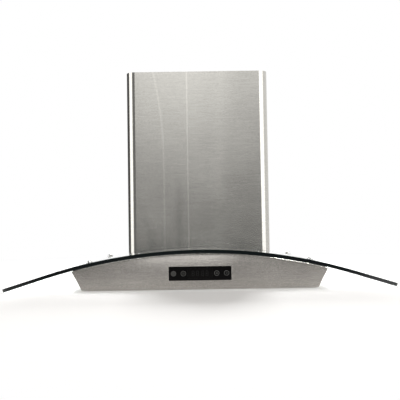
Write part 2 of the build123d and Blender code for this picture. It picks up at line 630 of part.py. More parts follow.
with BuildPart() as control_bezel:
    with BuildSketch(panel_plane(FRONT - SEAT_GAP)):
        Rectangle(PANEL_WIDTH + 2 * BEZEL_LIP, PANEL_HEIGHT + 2 * BEZEL_LIP)
        Rectangle(PANEL_WIDTH, PANEL_HEIGHT, mode=Mode.SUBTRACT)
    extrude(amount=BEZEL_THICKNESS)
    with BuildSketch(panel_plane(FRONT + BEZEL_SKIRT_DEPTH)):
        Rectangle(PANEL_WIDTH + 2 * BEZEL_SKIRT, PANEL_HEIGHT + 2 * BEZEL_SKIRT)
        Rectangle(PANEL_WIDTH, PANEL_HEIGHT, mode=Mode.SUBTRACT)
    extrude(amount=BEZEL_SKIRT_DEPTH + SEAT_GAP)
    outer_rim = control_bezel.faces().sort_by(Axis.Y)[0].outer_wire().edges()
    chamfer(outer_rim, BEZEL_THICKNESS / 2)
finish(control_bezel, "control_bezel")

with BuildPart() as control_panel:
    with BuildSketch(panel_plane(PANEL_BACK)):
        Rectangle(PANEL_FIT_WIDTH, PANEL_FIT_HEIGHT)
        Rectangle(DISPLAY_WIDTH + 2 * SEAT_GAP, DISPLAY_HEIGHT + 2 * SEAT_GAP, mode=Mode.SUBTRACT)
        with Locations([(x, 0) for x in BUTTON_X.values()]):
            Circle(BUTTON_RADIUS + BUTTON_GAP, mode=Mode.SUBTRACT)
    extrude(amount=PANEL_THICKNESS)
finish(control_panel, "control_panel")

with BuildPart() as display_window:
    with BuildSketch(panel_plane(PANEL_FACE + DISPLAY_THICKNESS)):
        Rectangle(DISPLAY_WIDTH, DISPLAY_HEIGHT)
    extrude(amount=DISPLAY_THICKNESS)
finish(display_window, "display_window")

for name, x in BUTTON_X.items():
    button_face = PANEL_FACE - BUTTON_PROUD
    with BuildPart() as button:
        with BuildSketch(panel_plane(BUTTON_FLANGE_FRONT)):
            with Locations((x, 0)):
                Circle(BUTTON_RADIUS)
        extrude(amount=BUTTON_FLANGE_FRONT - button_face)
        fillet(button.faces().sort_by(Axis.Y)[0].edges(), BUTTON_PROUD / 2)
        with BuildSketch(panel_plane(BUTTON_FLANGE_FRONT + BUTTON_FLANGE_THICKNESS)):
            with Locations((x, 0)):
                Circle(BUTTON_FLANGE_RADIUS)
        extrude(amount=BUTTON_FLANGE_THICKNESS)
    finish(button, f"button_{name}")

with BuildPart() as control_box:
    with BuildSketch(panel_plane(BOX_BACK)):
        Rectangle(BOX_OUTER_WIDTH, BOX_OUTER_HEIGHT)
    extrude(amount=CONTROL_BOX_DEPTH)
    with BuildSketch(panel_plane(BOX_BACK - CONTROL_BOX_WALL)):
        Rectangle(BOX_OUTER_WIDTH - 2 * CONTROL_BOX_WALL, BOX_OUTER_HEIGHT - 2 * CONTROL_BOX_WALL)
    extrude(amount=CONTROL_BOX_DEPTH, mode=Mode.SUBTRACT)
    with BuildSketch(panel_plane(BOX_BACK - CONTROL_BOX_WALL)):
        with GridLocations(PANEL_WIDTH - 2 * BOARD_MARGIN - 4 * BOARD_POST_RADIUS,
                           PANEL_HEIGHT - 2 * BOARD_MARGIN - 2 * BOARD_POST_RADIUS, 2, 2):
            Circle(BOARD_POST_RADIUS)
    extrude(amount=BOX_BACK - CONTROL_BOX_WALL - BOARD_BACK - SEAT_GAP)
finish(control_box, "control_box")

with BuildPart() as control_board:
    with BuildSketch(panel_plane(BOARD_BACK)):
        Rectangle(PANEL_WIDTH - 2 * BOARD_MARGIN, PANEL_HEIGHT - 2 * BOARD_MARGIN)
    extrude(amount=BOARD_THICKNESS)
    with BuildSketch(panel_plane(BOARD_FRONT)):
        with Locations([(x, 0) for x in BUTTON_X.values()]):
            Rectangle(SWITCH_SIZE, SWITCH_SIZE)
    extrude(amount=BOARD_FRONT - SWITCH_FRONT)
    with BuildSketch(panel_plane(BOARD_FRONT)):
        Rectangle(DISPLAY_WIDTH, DISPLAY_HEIGHT)
    extrude(amount=BOARD_FRONT - PANEL_FACE - DISPLAY_THICKNESS - SEAT_GAP)
finish(control_board, "control_board")

# ---------------------------------------------------------------- blower housing

WALL_X = HOUSING_WIDTH / 2
INNER_X = WALL_X - HOUSING_SHEET
OUTLET_LEFT = FAN_X + SCROLL_START_RADIUS * cos(radians(SCROLL_START_ANGLE))
OUTLET_RIGHT = FAN_X + SCROLL_END_RADIUS
OUTLET_X = (OUTLET_LEFT + OUTLET_RIGHT) / 2
OUTLET_WIDTH = OUTLET_RIGHT - OUTLET_LEFT - 2 * SCROLL_WALL
OUTLET_DEPTH = SCROLL_WIDTH - 2 * SCROLL_WALL
WALL_HOLE_SPOTS = [
    (side * WALL_HOLES_SPACING_X / 2, end * WALL_HOLES_SPACING_Z / 2) for side in (-1, 1) for end in (-1, 1)
]
WIRING_BOX_X = COLLAR_FLANGE_SIZE / 2 + WIRING_BOX_GAP + WIRING_BOX_WIDTH / 2
WIRING_BOX_Y = COLLAR_Y - WIRING_BOX_FORWARD
COLLAR_SCREW_REACH = COLLAR_FLANGE_SIZE / 2 - COLLAR_SCREW_INSET
COLLAR_SCREW_SPOTS = [
    (side * COLLAR_SCREW_REACH, COLLAR_Y + end * COLLAR_SCREW_REACH) for side in (-1, 1) for end in (-1, 1)
]

with BuildPart() as blower_housing:
    block((-WALL_X, WALL_X), (HOUSING_FRONT, 0), (BOTTOM, HOUSING_TOP))
    block((-INNER_X, INNER_X), (HOUSING_FRONT + HOUSING_SHEET, -HOUSING_SHEET), (BOTTOM, HOUSING_CEILING),
          Mode.SUBTRACT)
    with BuildSketch(Plane.XZ):
        with Locations((0, ARCH_CENTRE)):
            Circle(ARCH_RADIUS + FLANGE_LIFT)
    extrude(amount=HOOD_DEPTH, mode=Mode.SUBTRACT)
    with BuildSketch(Plane.XZ):
        add(arch_strip(FLANGE_LIFT, FLANGE_LIFT + HOUSING_SHEET, FLANGE_HALF_WIDTH))
        add(arch_strip(FLANGE_LIFT, FLANGE_LIFT + HOUSING_SHEET, INNER_X), mode=Mode.SUBTRACT)
    extrude(amount=-FLANGE_FRONT)
    with BuildSketch(at_depth(HOUSING_FRONT + HOUSING_SHEET)):
        add(arch_strip(FLANGE_LIFT, FLANGE_LIFT + HOUSING_SHEET, WALL_X))
    extrude(amount=HOUSING_FLANGE + HOUSING_SHEET)
    with BuildSketch(Plane.XZ):
        with Locations(WALL_HOLE_SPOTS):
            Circle(WALL_HOLE_RADIUS)
    extrude(amount=HOUSING_SHEET, mode=Mode.SUBTRACT)
    with BuildSketch(Plane.XY.offset(HOUSING_CEILING)):
        with Locations((OUTLET_X, FAN_Y)):
            Rectangle(OUTLET_WIDTH, OUTLET_DEPTH)
        with Locations(COLLAR_SCREW_SPOTS):
            Circle(SCREW_RADIUS + RUNNING_GAP)
        with Locations((WIRING_BOX_X, WIRING_BOX_Y)):
            Circle(GLAND_STEM_RADIUS)
    extrude(amount=HOUSING_SHEET, mode=Mode.SUBTRACT)
    with Locations([glass_plane(x, y, 0) for x, y in DECK_SCREW_SPOTS]):
        Hole(SCREW_RADIUS + RUNNING_GAP, depth=2 * GASKET_THICKNESS)
finish(blower_housing, "blower_housing")

DECK_SCREW_SEAT = FLANGE_LIFT + HOUSING_SHEET + SEAT_GAP

with BuildPart() as deck_screws:
    with Locations([glass_plane(x, y, DECK_SCREW_SEAT) for x, y in DECK_SCREW_SPOTS]):
        Cylinder(SCREW_HEAD_RADIUS, SCREW_HEAD_HEIGHT, align=(Align.CENTER, Align.CENTER, Align.MIN))
        Cylinder(SCREW_RADIUS, SCREW_LENGTH, align=(Align.CENTER, Align.CENTER, Align.MAX))
finish(deck_screws, "deck_screws")

# ---------------------------------------------------------------- blower


def fan_plane(y):
    """Upright plane facing the front, centred on the fan's shaft."""
    return Plane(origin=(FAN_X, y, FAN_Z), x_dir=(1, 0, 0), z_dir=(0, -1, 0))


def scroll_outline(wall):
    """Spiral of the blower and its outlet neck, inside a wall of the given thickness."""
    neck_left = OUTLET_LEFT - FAN_X + wall
    neck_right = OUTLET_RIGHT - FAN_X - wall
    neck_top = OUTLET_TOP - FAN_Z
    start = SCROLL_START_RADIUS - wall
    tongue_angle = 90 - degrees(asin(neck_left / start))
    turn = 360 - SCROLL_START_ANGLE
    steps = round(turn / SCROLL_STEP)
    spiral = [(neck_left, start * sin(radians(tongue_angle)))]
    for step in range(1, steps + 1):
        angle = radians(SCROLL_START_ANGLE + turn * step / steps)
        radius = SCROLL_START_RADIUS + (SCROLL_END_RADIUS - SCROLL_START_RADIUS) * step / steps - wall
        spiral.append((radius * cos(angle), radius * sin(angle)))
    with BuildSketch(mode=Mode.PRIVATE) as outline:
        with BuildLine():
            Spline(*spiral)
            Polyline(spiral[-1], (neck_right, neck_top), (neck_left, neck_top), spiral[0])
        make_face()
    return outline.sketch


MOTOR_SCREW_SPOTS = [
    (MOTOR_SCREW_CIRCLE * cos(radians(angle)), MOTOR_SCREW_CIRCLE * sin(radians(angle)))
    for angle in (90, 210, 330)
]
OUTLET_TOP = HOUSING_CEILING - SEAT_GAP

with BuildPart() as blower_scroll:
    with BuildSketch(fan_plane(SCROLL_REAR)):
        add(scroll_outline(0))
    extrude(amount=SCROLL_WIDTH)
    block((OUTLET_LEFT - OUTLET_RIM, OUTLET_RIGHT + OUTLET_RIM),
          (SCROLL_FRONT - OUTLET_RIM, SCROLL_REAR + OUTLET_RIM),
          (OUTLET_TOP - OUTLET_RIM_THICKNESS, OUTLET_TOP))
    with BuildSketch(fan_plane(SCROLL_REAR - SCROLL_WALL)):
        add(scroll_outline(SCROLL_WALL))
    extrude(amount=OUTLET_DEPTH, mode=Mode.SUBTRACT)
    with BuildSketch(fan_plane(SCROLL_FRONT + SCROLL_WALL)):
        Circle(INLET_RADIUS + INLET_LIP_WALL + SEAT_GAP)
    extrude(amount=SCROLL_WALL, mode=Mode.SUBTRACT)
    with BuildSketch(fan_plane(SCROLL_REAR)):
        Circle(SPIDER_BORE_RADIUS)
        with Locations(MOTOR_SCREW_SPOTS):
            Circle(SCREW_RADIUS + RUNNING_GAP)
    extrude(amount=SCROLL_WALL, mode=Mode.SUBTRACT)
finish(blower_scroll, "blower_scroll")

with BuildPart() as inlet_ring:
    with BuildSketch(fan_plane(SCROLL_FRONT - SEAT_GAP)):
        Circle(INLET_RADIUS + INLET_RING_WIDTH)
        Circle(INLET_RADIUS, mode=Mode.SUBTRACT)
    extrude(amount=INLET_RING_THICKNESS)
    with BuildSketch(fan_plane(SCROLL_FRONT + INLET_LIP_DEPTH)):
        Circle(INLET_RADIUS + INLET_LIP_WALL)
        Circle(INLET_RADIUS, mode=Mode.SUBTRACT)
    extrude(amount=INLET_LIP_DEPTH + SEAT_GAP)
    mouth = inlet_ring.faces().sort_by(Axis.Y)[0].inner_wires()[0].edges()
    fillet(mouth, INLET_LIP_WALL)
finish(inlet_ring, "inlet_ring")

IMPELLER_FRONT = FAN_Y - IMPELLER_WIDTH / 2
IMPELLER_REAR = FAN_Y + IMPELLER_WIDTH / 2
HUB_BORE_RADIUS = SHAFT_RADIUS + RUNNING_GAP
SHAFT_FRONT = IMPELLER_REAR - HUB_LENGTH - SHAFT_TIP
GROMMET_REAR = SCROLL_REAR + SEAT_GAP + GROMMET_HEIGHT
SPIDER_REAR = GROMMET_REAR + SEAT_GAP + SPIDER_THICKNESS
MOTOR_FRONT = SPIDER_REAR + SEAT_GAP
MOTOR_REAR = MOTOR_FRONT + MOTOR_LENGTH
SHAFT_REAR = MOTOR_FRONT + SHAFT_IN_MOTOR

with BuildPart() as impeller:
    with BuildSketch(fan_plane(IMPELLER_REAR)):
        Circle(IMPELLER_RADIUS)
    extrude(amount=IMPELLER_PLATE)
    with BuildSketch(fan_plane(IMPELLER_REAR)):
        Circle(HUB_RADIUS)
    extrude(amount=HUB_LENGTH)
    with BuildSketch(fan_plane(IMPELLER_REAR)):
        with PolarLocations(BLADE_MID_RADIUS, BLADE_COUNT):
            Rectangle(BLADE_LENGTH, BLADE_THICKNESS, rotation=BLADE_ANGLE)
    extrude(amount=IMPELLER_WIDTH)
    with BuildSketch(fan_plane(IMPELLER_FRONT + IMPELLER_PLATE)):
        Circle(IMPELLER_RADIUS)
        Circle(IMPELLER_RADIUS - IMPELLER_RING_WIDTH, mode=Mode.SUBTRACT)
    extrude(amount=IMPELLER_PLATE)
    with BuildSketch(fan_plane(IMPELLER_REAR)):
        Circle(HUB_BORE_RADIUS)
    extrude(amount=HUB_LENGTH, mode=Mode.SUBTRACT)
finish(impeller, "impeller")

with BuildPart() as fan_shaft:
    with BuildSketch(fan_plane(SHAFT_REAR)):
        Circle(SHAFT_RADIUS)
    extrude(amount=SHAFT_REAR - SHAFT_FRONT)
finish(fan_shaft, "fan_shaft")

with BuildPart() as motor:
    with BuildSketch(fan_plane(MOTOR_REAR)):
        Circle(MOTOR_RADIUS)
    extrude(amount=MOTOR_LENGTH)
    fillet(motor.edges().filter_by(GeomType.CIRCLE), MOTOR_EDGE_RADIUS)
    with BuildSketch(fan_plane(MOTOR_REAR + MOTOR_CAP_LENGTH)):
        Circle(MOTOR_CAP_RADIUS)
    extrude(amount=MOTOR_CAP_LENGTH)
    with BuildSketch(fan_plane(SHAFT_REAR + SHAFT_TIP)):
        Circle(HUB_BORE_RADIUS)
    extrude(amount=SHAFT_IN_MOTOR + SHAFT_TIP, mode=Mode.SUBTRACT)
finish(motor, "motor")

with BuildPart() as motor_spider:
    with BuildSketch(fan_plane(SPIDER_REAR)):
        Circle(SPIDER_HUB_RADIUS)
        for spot in MOTOR_SCREW_SPOTS:
            SlotCenterPoint((0, 0), spot, SPIDER_ARM_WIDTH)
        with Locations(MOTOR_SCREW_SPOTS):
            Circle(SCREW_RADIUS + RUNNING_GAP, mode=Mode.SUBTRACT)
        Circle(SPIDER_BORE_RADIUS, mode=Mode.SUBTRACT)
    extrude(amount=SPIDER_THICKNESS)
finish(motor_spider, "motor_spider")

with BuildPart() as motor_grommets:
    with BuildSketch(fan_plane(GROMMET_REAR)):
        with Locations(MOTOR_SCREW_SPOTS):
            Circle(GROMMET_RADIUS)
            Circle(SCREW_RADIUS + RUNNING_GAP, mode=Mode.SUBTRACT)
    extrude(amount=GROMMET_HEIGHT)
finish(motor_grommets, "motor_grommets")

MOTOR_SCREW_SEAT = SPIDER_REAR + SEAT_GAP

with BuildPart() as motor_screws:
    with BuildSketch(fan_plane(MOTOR_SCREW_SEAT + SCREW_HEAD_HEIGHT)):
        with Locations(MOTOR_SCREW_SPOTS):
            Circle(SCREW_HEAD_RADIUS)
    extrude(amount=SCREW_HEAD_HEIGHT)
    with BuildSketch(fan_plane(MOTOR_SCREW_SEAT)):
        with Locations(MOTOR_SCREW_SPOTS):
            Circle(SCREW_RADIUS)
    extrude(amount=MOTOR_SCREW_SEAT - SCROLL_REAR + SCROLL_WALL)
finish(motor_screws, "motor_screws")

CAPACITOR_X = INNER_X - CAPACITOR_RADIUS - SEAT_GAP
CAPACITOR_Y = -CAPACITOR_WALL_DISTANCE
CAPACITOR_BOTTOM = HOUSING_TOP - CAPACITOR_DROP

with BuildPart() as capacitor:
    with BuildSketch(Plane.XY.offset(CAPACITOR_BOTTOM)):
        with Locations((CAPACITOR_X, CAPACITOR_Y)):
            Circle(CAPACITOR_RADIUS)
    extrude(amount=CAPACITOR_LENGTH)
    with BuildSketch(Plane.XY.offset(CAPACITOR_BOTTOM + CAPACITOR_LENGTH)):
        with Locations([(CAPACITOR_X, CAPACITOR_Y + side * CAPACITOR_RADIUS / 2) for side in (-1, 1)]):
            Rectangle(TERMINAL_SIZE / 2, TERMINAL_SIZE)
    extrude(amount=TERMINAL_SIZE)
finish(capacitor, "capacitor")

# ---------------------------------------------------------------- wiring box and cable gland

WIRING_SPOT = (WIRING_BOX_X, WIRING_BOX_Y)
WIRING_BASE = HOUSING_TOP + SEAT_GAP
WIRING_TOP = WIRING_BASE + WIRING_BOX_HEIGHT
LID_TOP = WIRING_TOP + SEAT_GAP + WIRING_LID_THICKNESS
GLAND_BASE = LID_TOP + SEAT_GAP

with BuildPart() as wiring_box:
    with BuildSketch(Plane.XY.offset(WIRING_BASE)):
        with Locations(WIRING_SPOT):
            Rectangle(WIRING_BOX_WIDTH, WIRING_BOX_DEPTH)
    extrude(amount=WIRING_BOX_HEIGHT)
    with BuildSketch(Plane.XY.offset(WIRING_BASE + WIRING_BOX_WALL)):
        with Locations(WIRING_SPOT):
            Rectangle(WIRING_BOX_WIDTH - 2 * WIRING_BOX_WALL, WIRING_BOX_DEPTH - 2 * WIRING_BOX_WALL)
    extrude(amount=WIRING_BOX_HEIGHT, mode=Mode.SUBTRACT)
    with BuildSketch(Plane.XY.offset(WIRING_BASE)):
        with Locations(WIRING_SPOT):
            Circle(GLAND_STEM_RADIUS)
    extrude(amount=WIRING_BOX_WALL, mode=Mode.SUBTRACT)
finish(wiring_box, "wiring_box")

with BuildPart() as wiring_lid:
    with BuildSketch(Plane.XY.offset(WIRING_TOP + SEAT_GAP)):
        with Locations(WIRING_SPOT):
            Rectangle(WIRING_BOX_WIDTH, WIRING_BOX_DEPTH)
            Circle(GLAND_STEM_RADIUS + SEAT_GAP, mode=Mode.SUBTRACT)
    extrude(amount=WIRING_LID_THICKNESS)
finish(wiring_lid, "wiring_lid")

with BuildPart() as cable_gland:
    with BuildSketch(Plane.XY.offset(GLAND_BASE)):
        with Locations(WIRING_SPOT):
            RegularPolygon(GLAND_FLANGE_RADIUS, 6)
    extrude(amount=GLAND_FLANGE_HEIGHT)
    with BuildSketch(Plane.XY.offset(GLAND_BASE + GLAND_FLANGE_HEIGHT)):
        with Locations(WIRING_SPOT):
            Circle(GLAND_NUT_RADIUS)
    extrude(amount=GLAND_NUT_HEIGHT)
    fillet(cable_gland.faces().sort_by(Axis.Z)[-1].edges(), GLAND_NUT_ROUND)
    with BuildSketch(Plane.XY.offset(GLAND_BASE)):
        with Locations(WIRING_SPOT):
            Circle(GLAND_STEM_RADIUS)
    extrude(amount=-GLAND_STEM_LENGTH)
    with BuildSketch(Plane.XY.offset(GLAND_BASE - GLAND_STEM_LENGTH)):
        with Locations(WIRING_SPOT):
            Circle(GLAND_CABLE_RADIUS)
    extrude(amount=GLAND_STEM_LENGTH + GLAND_FLANGE_HEIGHT + GLAND_NUT_HEIGHT, mode=Mode.SUBTRACT)
finish(cable_gland, "cable_gland")

# ---------------------------------------------------------------- duct collar and its flaps

COLLAR_SPOT = (0, COLLAR_Y)
FLAP_SEAT_TOP = FLAP_PIN_Z - FLAP_THICKNESS / 2 - REST_GAP
FLAP_RADIUS = COLLAR_BORE - FLAP_RIM_GAP
FLAP_PIN_REACH = COLLAR_RADIUS - FLAP_PIN_INSET
FLAP_EDGE_X = FLAP_PIN_X + FLAP_KNUCKLE_RADIUS - FLAP_PLATE_OVERLAP
KNUCKLE_REACH = FLAP_RADIUS - FLAP_KNUCKLE_END


def collar_plane(y):
    """Upright plane facing the front, centred on the collar at the height of the flap pins."""
    return Plane(origin=(0, COLLAR_Y + y, FLAP_PIN_Z), x_dir=(1, 0, 0), z_dir=(0, -1, 0))


with BuildPart() as duct_collar:
    with BuildSketch(Plane.XY.offset(COLLAR_BASE)):
        with Locations(COLLAR_SPOT):
            RectangleRounded(COLLAR_FLANGE_SIZE, COLLAR_FLANGE_SIZE, COLLAR_CORNER_RADIUS)
        with Locations(COLLAR_SCREW_SPOTS):
            Circle(SCREW_RADIUS + RUNNING_GAP, mode=Mode.SUBTRACT)
    extrude(amount=COLLAR_FLANGE_THICKNESS)
    with BuildSketch(Plane.XY.offset(COLLAR_BASE)):
        with Locations(COLLAR_SPOT):
            Circle(COLLAR_RADIUS)
    extrude(amount=COLLAR_TOP - COLLAR_BASE)
    with BuildSketch(Plane.XY.offset(COLLAR_BASE)):
        with Locations(COLLAR_SPOT):
            Circle(COLLAR_BORE)
    extrude(amount=COLLAR_TOP - COLLAR_BASE, mode=Mode.SUBTRACT)
    with BuildSketch(Plane.XY.offset(FLAP_SEAT_TOP - FLAP_SEAT_THICKNESS)):
        with Locations(COLLAR_SPOT):
            Circle(COLLAR_RADIUS - COLLAR_WALL / 2)
            Circle(COLLAR_BORE - FLAP_SEAT_WIDTH, mode=Mode.SUBTRACT)
    extrude(amount=FLAP_SEAT_THICKNESS)
    with BuildSketch(collar_plane(FLAP_PIN_REACH + SEAT_GAP)):
        with Locations([(side * FLAP_PIN_X, 0) for side in (-1, 1)]):
            Circle(FLAP_PIN_RADIUS + RUNNING_GAP)
    extrude(amount=2 * (FLAP_PIN_REACH + SEAT_GAP), mode=Mode.SUBTRACT)
finish(duct_collar, "duct_collar")

with BuildPart() as collar_screws:
    with BuildSketch(Plane.XY.offset(COLLAR_FLANGE_TOP + SEAT_GAP)):
        with Locations(COLLAR_SCREW_SPOTS):
            Circle(SCREW_HEAD_RADIUS)
    extrude(amount=SCREW_HEAD_HEIGHT)
    with BuildSketch(Plane.XY.offset(COLLAR_FLANGE_TOP + SEAT_GAP)):
        with Locations(COLLAR_SCREW_SPOTS):
            Circle(SCREW_RADIUS)
    extrude(amount=-SCREW_LENGTH)
finish(collar_screws, "collar_screws")

with BuildPart() as flap_pins:
    with BuildSketch(collar_plane(FLAP_PIN_REACH)):
        with Locations([(side * FLAP_PIN_X, 0) for side in (-1, 1)]):
            Circle(FLAP_PIN_RADIUS)
    extrude(amount=2 * FLAP_PIN_REACH)
finish(flap_pins, "flap_pins")

for name, side in SIDES.items():
    with BuildPart() as flap:
        with BuildSketch(Plane.XY.offset(FLAP_PIN_Z - FLAP_THICKNESS / 2)):
            with Locations(COLLAR_SPOT):
                Circle(FLAP_RADIUS)
            with Locations((side * (FLAP_EDGE_X + FLAP_RADIUS), COLLAR_Y)):
                Rectangle(2 * FLAP_RADIUS, 2 * FLAP_RADIUS, mode=Mode.INTERSECT)
        extrude(amount=FLAP_THICKNESS)
        with BuildSketch(collar_plane(KNUCKLE_REACH)):
            with Locations((side * FLAP_PIN_X, 0)):
                Circle(FLAP_KNUCKLE_RADIUS)
        extrude(amount=2 * KNUCKLE_REACH)
        with BuildSketch(collar_plane(KNUCKLE_REACH)):
            with Locations((side * FLAP_PIN_X, 0)):
                Circle(FLAP_PIN_RADIUS + RUNNING_GAP)
        extrude(amount=2 * KNUCKLE_REACH, mode=Mode.SUBTRACT)
    finish(flap, f"damper_flap_{name}")

# ---------------------------------------------------------------- chimney

LOWER_HALF = CHIMNEY_WIDTH / 2
LOWER_INNER = LOWER_HALF - CHIMNEY_SHEET
UPPER_HALF = LOWER_INNER - CHIMNEY_SLIDE_GAP
UPPER_INNER = UPPER_HALF - CHIMNEY_SHEET
UPPER_FRONT = CHIMNEY_FRONT + CHIMNEY_SHEET + CHIMNEY_SLIDE_GAP
UPPER_REAR = -CHIMNEY_SHEET - CHIMNEY_SLIDE_GAP
UPPER_BOTTOM = CLIP_TOP + REST_GAP
UPPER_TOP = CHIMNEY_TOP - UPPER_CHIMNEY_DROP


def chimney_section(half_width, front, rear, corner):
    """Plan of a folded chimney: a front with round corners, two sides and two rear returns."""
    inner_front = front + CHIMNEY_SHEET
    with BuildSketch(mode=Mode.PRIVATE) as section:
        add(plan_with_round_front(half_width, front, rear, corner))
        add(plan_with_round_front(half_width - CHIMNEY_SHEET, inner_front, rear - CHIMNEY_SHEET,
                                  corner - CHIMNEY_SHEET), mode=Mode.SUBTRACT)
        with Locations((0, rear)):
            Rectangle(2 * (half_width - CHIMNEY_RETURN), 3 * CHIMNEY_SHEET, mode=Mode.SUBTRACT)
    return section.sketch


CLIP_SCREW_SPOTS = [
    (y, CLIP_BOTTOM + CLIP_HEIGHT / 2)
    for y in (CLIP_FRONT_Y + CLIP_SCREW_INSET, CLIP_REAR_Y - CLIP_SCREW_INSET)
]

with BuildPart() as lower_chimney:
    with BuildSketch(Plane.XY.offset(BOTTOM)):
        add(chimney_section(LOWER_HALF, CHIMNEY_FRONT, 0, CHIMNEY_CORNER_RADIUS))
    extrude(amount=CHIMNEY_TOP_HEIGHT)
    with BuildSketch(Plane.XZ):
        with Locations((0, ARCH_CENTRE)):
            Circle(ARCH_RADIUS + CHIMNEY_LIFT)
    extrude(amount=HOOD_DEPTH, mode=Mode.SUBTRACT)
    with BuildSketch(Plane.YZ.offset(-LOWER_HALF)):
        with Locations(CLIP_SCREW_SPOTS):
            Circle(SCREW_RADIUS + RUNNING_GAP)
    extrude(amount=CHIMNEY_WIDTH, mode=Mode.SUBTRACT)
finish(lower_chimney, "lower_chimney")

with BuildPart() as upper_chimney:
    with BuildSketch(Plane.XY.offset(UPPER_BOTTOM)):
        add(chimney_section(UPPER_HALF, UPPER_FRONT, UPPER_REAR,
                            CHIMNEY_CORNER_RADIUS - CHIMNEY_SHEET - CHIMNEY_SLIDE_GAP))
    extrude(amount=UPPER_TOP - UPPER_BOTTOM)
finish(upper_chimney, "upper_chimney")

CLIP_Y = (CLIP_FRONT_Y, CLIP_REAR_Y)
CLIP_Z = (CLIP_BOTTOM, CLIP_TOP)
CLIP_INNER = WALL_X + SEAT_GAP
CLIP_OUTER = LOWER_INNER - SEAT_GAP

for name, side in SIDES.items():
    with BuildPart() as clip:
        block(sorted((side * CLIP_INNER, side * (CLIP_INNER + CLIP_SHEET))), CLIP_Y, CLIP_Z)
        block(sorted((side * (CLIP_OUTER - CLIP_SHEET), side * CLIP_OUTER)), CLIP_Y, CLIP_Z)
        block(sorted((side * CLIP_INNER, side * CLIP_OUTER)), CLIP_Y,
              (CLIP_BOTTOM, CLIP_BOTTOM + CLIP_SHEET))
        with BuildSketch(Plane.YZ.offset(side * (CLIP_OUTER - CLIP_SHEET / 2))):
            with Locations(CLIP_SCREW_SPOTS):
                Circle(SCREW_RADIUS + RUNNING_GAP)
        extrude(amount=CLIP_SHEET, both=True, mode=Mode.SUBTRACT)
    finish(clip, f"chimney_clip_{name}")

with BuildPart() as chimney_screws:
    for side in SIDES.values():
        with BuildSketch(Plane.YZ.offset(side * (LOWER_HALF + SEAT_GAP))):
            with Locations(CLIP_SCREW_SPOTS):
                Circle(SCREW_HEAD_RADIUS)
        extrude(amount=side * SCREW_HEAD_HEIGHT)
        with BuildSketch(Plane.YZ.offset(side * (LOWER_HALF + SEAT_GAP))):
            with Locations(CLIP_SCREW_SPOTS):
                Circle(SCREW_RADIUS)
        extrude(amount=-side * SCREW_LENGTH)
finish(chimney_screws, "chimney_screws")

BRACKET_TOP = UPPER_TOP - BRACKET_DROP
BRACKET_Z = (BRACKET_TOP - BRACKET_HEIGHT, BRACKET_TOP)
BRACKET_HALF = UPPER_HALF - CHIMNEY_RETURN - BRACKET_PLATE_GAP
BRACKET_SIDE_X = BRACKET_HALF - BRACKET_SHEET
BRACKET_ARM_X = UPPER_INNER - SEAT_GAP
BRACKET_JOG_REAR = -BRACKET_JOG + BRACKET_SHEET
BRACKET_SLOT_SPOTS = [
    (side * BRACKET_SLOT_SPACING / 2, BRACKET_TOP - BRACKET_HEIGHT / 2) for side in SIDES.values()
]

with BuildPart() as chimney_bracket:
    block((-BRACKET_HALF, BRACKET_HALF), (-BRACKET_SHEET, 0), BRACKET_Z)
    for side in SIDES.values():
        block(sorted((side * BRACKET_SIDE_X, side * BRACKET_HALF)), (-BRACKET_JOG, 0), BRACKET_Z)
        block(sorted((side * BRACKET_SIDE_X, side * BRACKET_ARM_X)),
              (-BRACKET_JOG, BRACKET_JOG_REAR), BRACKET_Z)
        block(sorted((side * (BRACKET_ARM_X - BRACKET_SHEET), side * BRACKET_ARM_X)),
              (-BRACKET_ARM, BRACKET_JOG_REAR), BRACKET_Z)
    with BuildSketch(Plane.XZ):
        with Locations(BRACKET_SLOT_SPOTS):
            SlotOverall(BRACKET_SLOT_LENGTH, 2 * BRACKET_SLOT_RADIUS)
    extrude(amount=BRACKET_SHEET, mode=Mode.SUBTRACT)
finish(chimney_bracket, "chimney_bracket")

# ---------------------------------------------------------------- filters

FILTER_TOP = FILTER_BOTTOM + FILTER_THICKNESS
FILTER_Y = (FILTER_FRONT + FILTER_REAR) / 2
BAFFLE_LENGTH = FILTER_DEPTH - 2 * (FILTER_SHEET + BAFFLE_END_GAP)
BAFFLE_REAR = FILTER_REAR - FILTER_SHEET - BAFFLE_END_GAP
LOWER_BAFFLE_BASE = FILTER_BOTTOM + FILTER_SHEET + RUNNING_GAP
UPPER_BAFFLE_CROWN = FILTER_TOP - FILTER_SHEET - RUNNING_GAP
LOWER_BAFFLES = int((FILTER_WIDTH - 2 * FILTER_SHEET - BAFFLE_WIDTH) / BAFFLE_PITCH) + 1


def baffle_outline(base, rise):
    """Section of one baffle: a channel that opens upwards, or downwards where rise is negative."""
    with BuildSketch(mode=Mode.PRIVATE) as outline:
        with Locations((0, base + rise / 2)):
            Rectangle(BAFFLE_WIDTH, abs(rise))
        with Locations((0, base + rise / 2 + BAFFLE_SHEET * rise / abs(rise))):
            Rectangle(BAFFLE_WIDTH - 2 * BAFFLE_SHEET, abs(rise), mode=Mode.SUBTRACT)
    return outline.sketch


